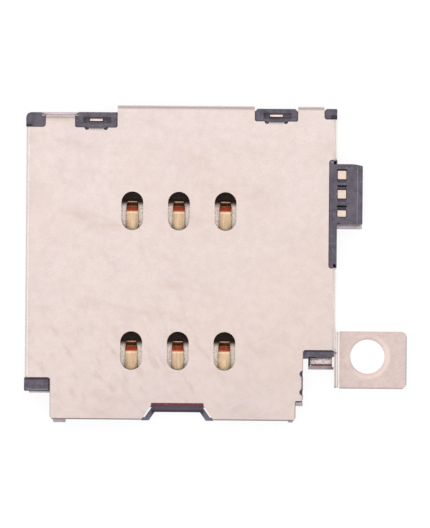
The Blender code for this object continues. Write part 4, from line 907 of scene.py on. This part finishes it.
def make_spring(node, name, x, y):
    """One contact spring, made in place over its slot."""
    work = bmesh.new()
    side_view(work)
    profile = list(work.faces)
    bmesh.ops.translate(work, vec=(-0.5, 0.0, 0.0), verts=work.verts)
    swept = bmesh.ops.extrude_face_region(work, geom=profile)
    moved = [item for item in swept["geom"] if isinstance(item, bmesh.types.BMVert)]
    bmesh.ops.translate(work, vec=(1.0, 0.0, 0.0), verts=moved)
    bmesh.ops.recalc_face_normals(work, faces=work.faces)
    for vertex in work.verts:
        vertex.co.x *= strip_width(vertex.co.y)
    round_rims(work, sharp_edges(work, 40.0))
    ears = bmesh.ops.create_cube(work, size=1.0)["verts"]
    bmesh.ops.scale(work, vec=(ear_wide, ear_long, strip_thick * 0.96), verts=ears)
    bmesh.ops.translate(work, vec=(0.0, -contact_reach, pivot_high), verts=ears)
    round_rims(work, list({edge for vertex in ears for edge in vertex.link_edges}))
    along = work.verts.layers.float.new("along")
    for vertex in work.verts:
        vertex[along] = vertex.co.y
    bmesh.ops.translate(work, vec=(x, y, 0.0), verts=work.verts)
    bmesh.ops.scale(work, vec=(MM,) * 3, verts=work.verts)
    return finished(work, name, [spring_gold], node)


for row, names in enumerate((("c1", "c2", "c3"), ("c5", "c6", "c7"))):
    for column, short in enumerate(names):
        make_spring("contact_" + short, "spring_strip_" + short, (column - 1) * column_pitch,
                    (0.5 - row) * row_spacing)
print("six springs made")

# %% [markdown]
# ## Floor, sky and lamps
# The part stands on pure white. The floor is plain and pale for every ray that lights the
# part. For the camera, and for reflections, most of its brightness is its own, with a little
# shade left from the part. A large pale sky, brighter above than at the horizon, lights the flat
# sheet evenly. One soft lamp behind the part lights the plastic and is kept out of reflections,
# and two soft strips left and right light the folds. The slots' dark ends are partly painted
# shade, and the bright lines along the folds are painted highlights in the finishes.

# %% Floor
floor_half, floor_drop = 1.5, 0.01 * MM
floor_pale = (0.80, 0.80, 0.80, 1.0)
floor_faint, floor_glow = (0.16, 0.16, 0.16, 1.0), 0.88


def make_floor():
    """A wide plain floor just under the part."""
    work = bmesh.new()
    bmesh.ops.create_grid(work, x_segments=8, y_segments=8, size=floor_half)
    bmesh.ops.translate(work, vec=(0.0, 0.0, -floor_drop), verts=work.verts)
    mesh = bpy.data.meshes.new("floor")
    work.to_mesh(mesh)
    work.free()
    made = bpy.data.objects.new("floor", mesh)
    bpy.context.scene.collection.objects.link(made)
    finish = bpy.data.materials.new("white_table")
    finish.use_nodes = True
    tree = finish.node_tree
    tree.nodes.remove(tree.nodes["Principled BSDF"])
    plain = tree.nodes.new("ShaderNodeBsdfDiffuse")
    plain.inputs["Color"].default_value = floor_pale
    faint = tree.nodes.new("ShaderNodeBsdfDiffuse")
    faint.inputs["Color"].default_value = floor_faint
    own = tree.nodes.new("ShaderNodeEmission")
    own.inputs["Strength"].default_value = floor_glow
    together = tree.nodes.new("ShaderNodeAddShader")
    tree.links.new(faint.outputs[0], together.inputs[0])
    tree.links.new(own.outputs[0], together.inputs[1])
    path = tree.nodes.new("ShaderNodeLightPath")
    seen = path.outputs["Is Camera Ray"]
    for kind in ("Is Glossy Ray", "Is Transmission Ray"):
        either = tree.nodes.new("ShaderNodeMath")
        either.operation = "MAXIMUM"
        tree.links.new(seen, either.inputs[0])
        tree.links.new(path.outputs[kind], either.inputs[1])
        seen = either.outputs[0]
    choose = tree.nodes.new("ShaderNodeMixShader")
    tree.links.new(seen, choose.inputs["Fac"])
    tree.links.new(plain.outputs[0], choose.inputs[1])
    tree.links.new(together.outputs[0], choose.inputs[2])
    tree.links.new(choose.outputs[0], tree.nodes["Material Output"].inputs["Surface"])
    mesh.materials.append(finish)
    return made


floor = make_floor()
print("floor at", round(floor.data.vertices[0].co.z / MM, 3), "mm")


# %% Sky
def make_sky(zenith, horizon):
    """A pale sky, brighter above than at the horizon."""
    world = bpy.data.worlds.new("sky")
    bpy.context.scene.world = world
    world.use_nodes = True
    tree = world.node_tree
    direction = tree.nodes.new("ShaderNodeTexCoord")
    parts = tree.nodes.new("ShaderNodeSeparateXYZ")
    tree.links.new(direction.outputs["Generated"], parts.inputs["Vector"])
    steep = tree.nodes.new("ShaderNodeMath")
    steep.operation = "POWER"
    steep.use_clamp = True
    tree.links.new(parts.outputs["Z"], steep.inputs[0])
    steep.inputs[1].default_value = 1.5
    strength = tree.nodes.new("ShaderNodeMapRange")
    tree.links.new(steep.outputs["Value"], strength.inputs["Value"])
    strength.inputs["To Min"].default_value = horizon
    strength.inputs["To Max"].default_value = zenith
    background = tree.nodes["Background"]
    background.inputs["Color"].default_value = (1.0, 0.995, 0.99, 1.0)
    tree.links.new(strength.outputs["Result"], background.inputs["Strength"])


sky_zenith, sky_horizon = 1.24, 0.36
make_sky(sky_zenith, sky_horizon)
print("sky from", sky_horizon, "to", sky_zenith)


# %% Lamps
def add_lamp(name, azimuth, from_vertical, distance, size, level, length=None):
    """A soft area lamp that looks at the part; level is its share of a full white light."""
    data = bpy.data.lights.new(name, "AREA")
    data.shape = "RECTANGLE"
    data.size = size
    data.size_y = length or size
    solid = data.size * data.size_y / distance ** 2
    radiance = level * math.pi / solid
    data.energy = radiance * math.pi * data.size * data.size_y
    lamp = bpy.data.objects.new(name, data)
    a, t = math.radians(azimuth), math.radians(from_vertical)
    towards = Vector((math.cos(a) * math.sin(t), math.sin(a) * math.sin(t), math.cos(t)))
    lamp.location = towards * distance
    lamp.rotation_mode = "QUATERNION"
    lamp.rotation_quaternion = towards.to_track_quat("Z", "Y")
    lamp.visible_camera = False
    bpy.context.scene.collection.objects.link(lamp)
    return lamp


lamp_distance = 0.35
key_lamp = add_lamp("key_lamp", 112, 28, lamp_distance, 0.12, 0.10)
key_lamp.visible_glossy = False
for name, azimuth in (("left_strip", 180), ("right_strip", 0)):
    add_lamp(name, azimuth, 55, lamp_distance, 0.05, 0.05, 0.20)
print("three lamps")
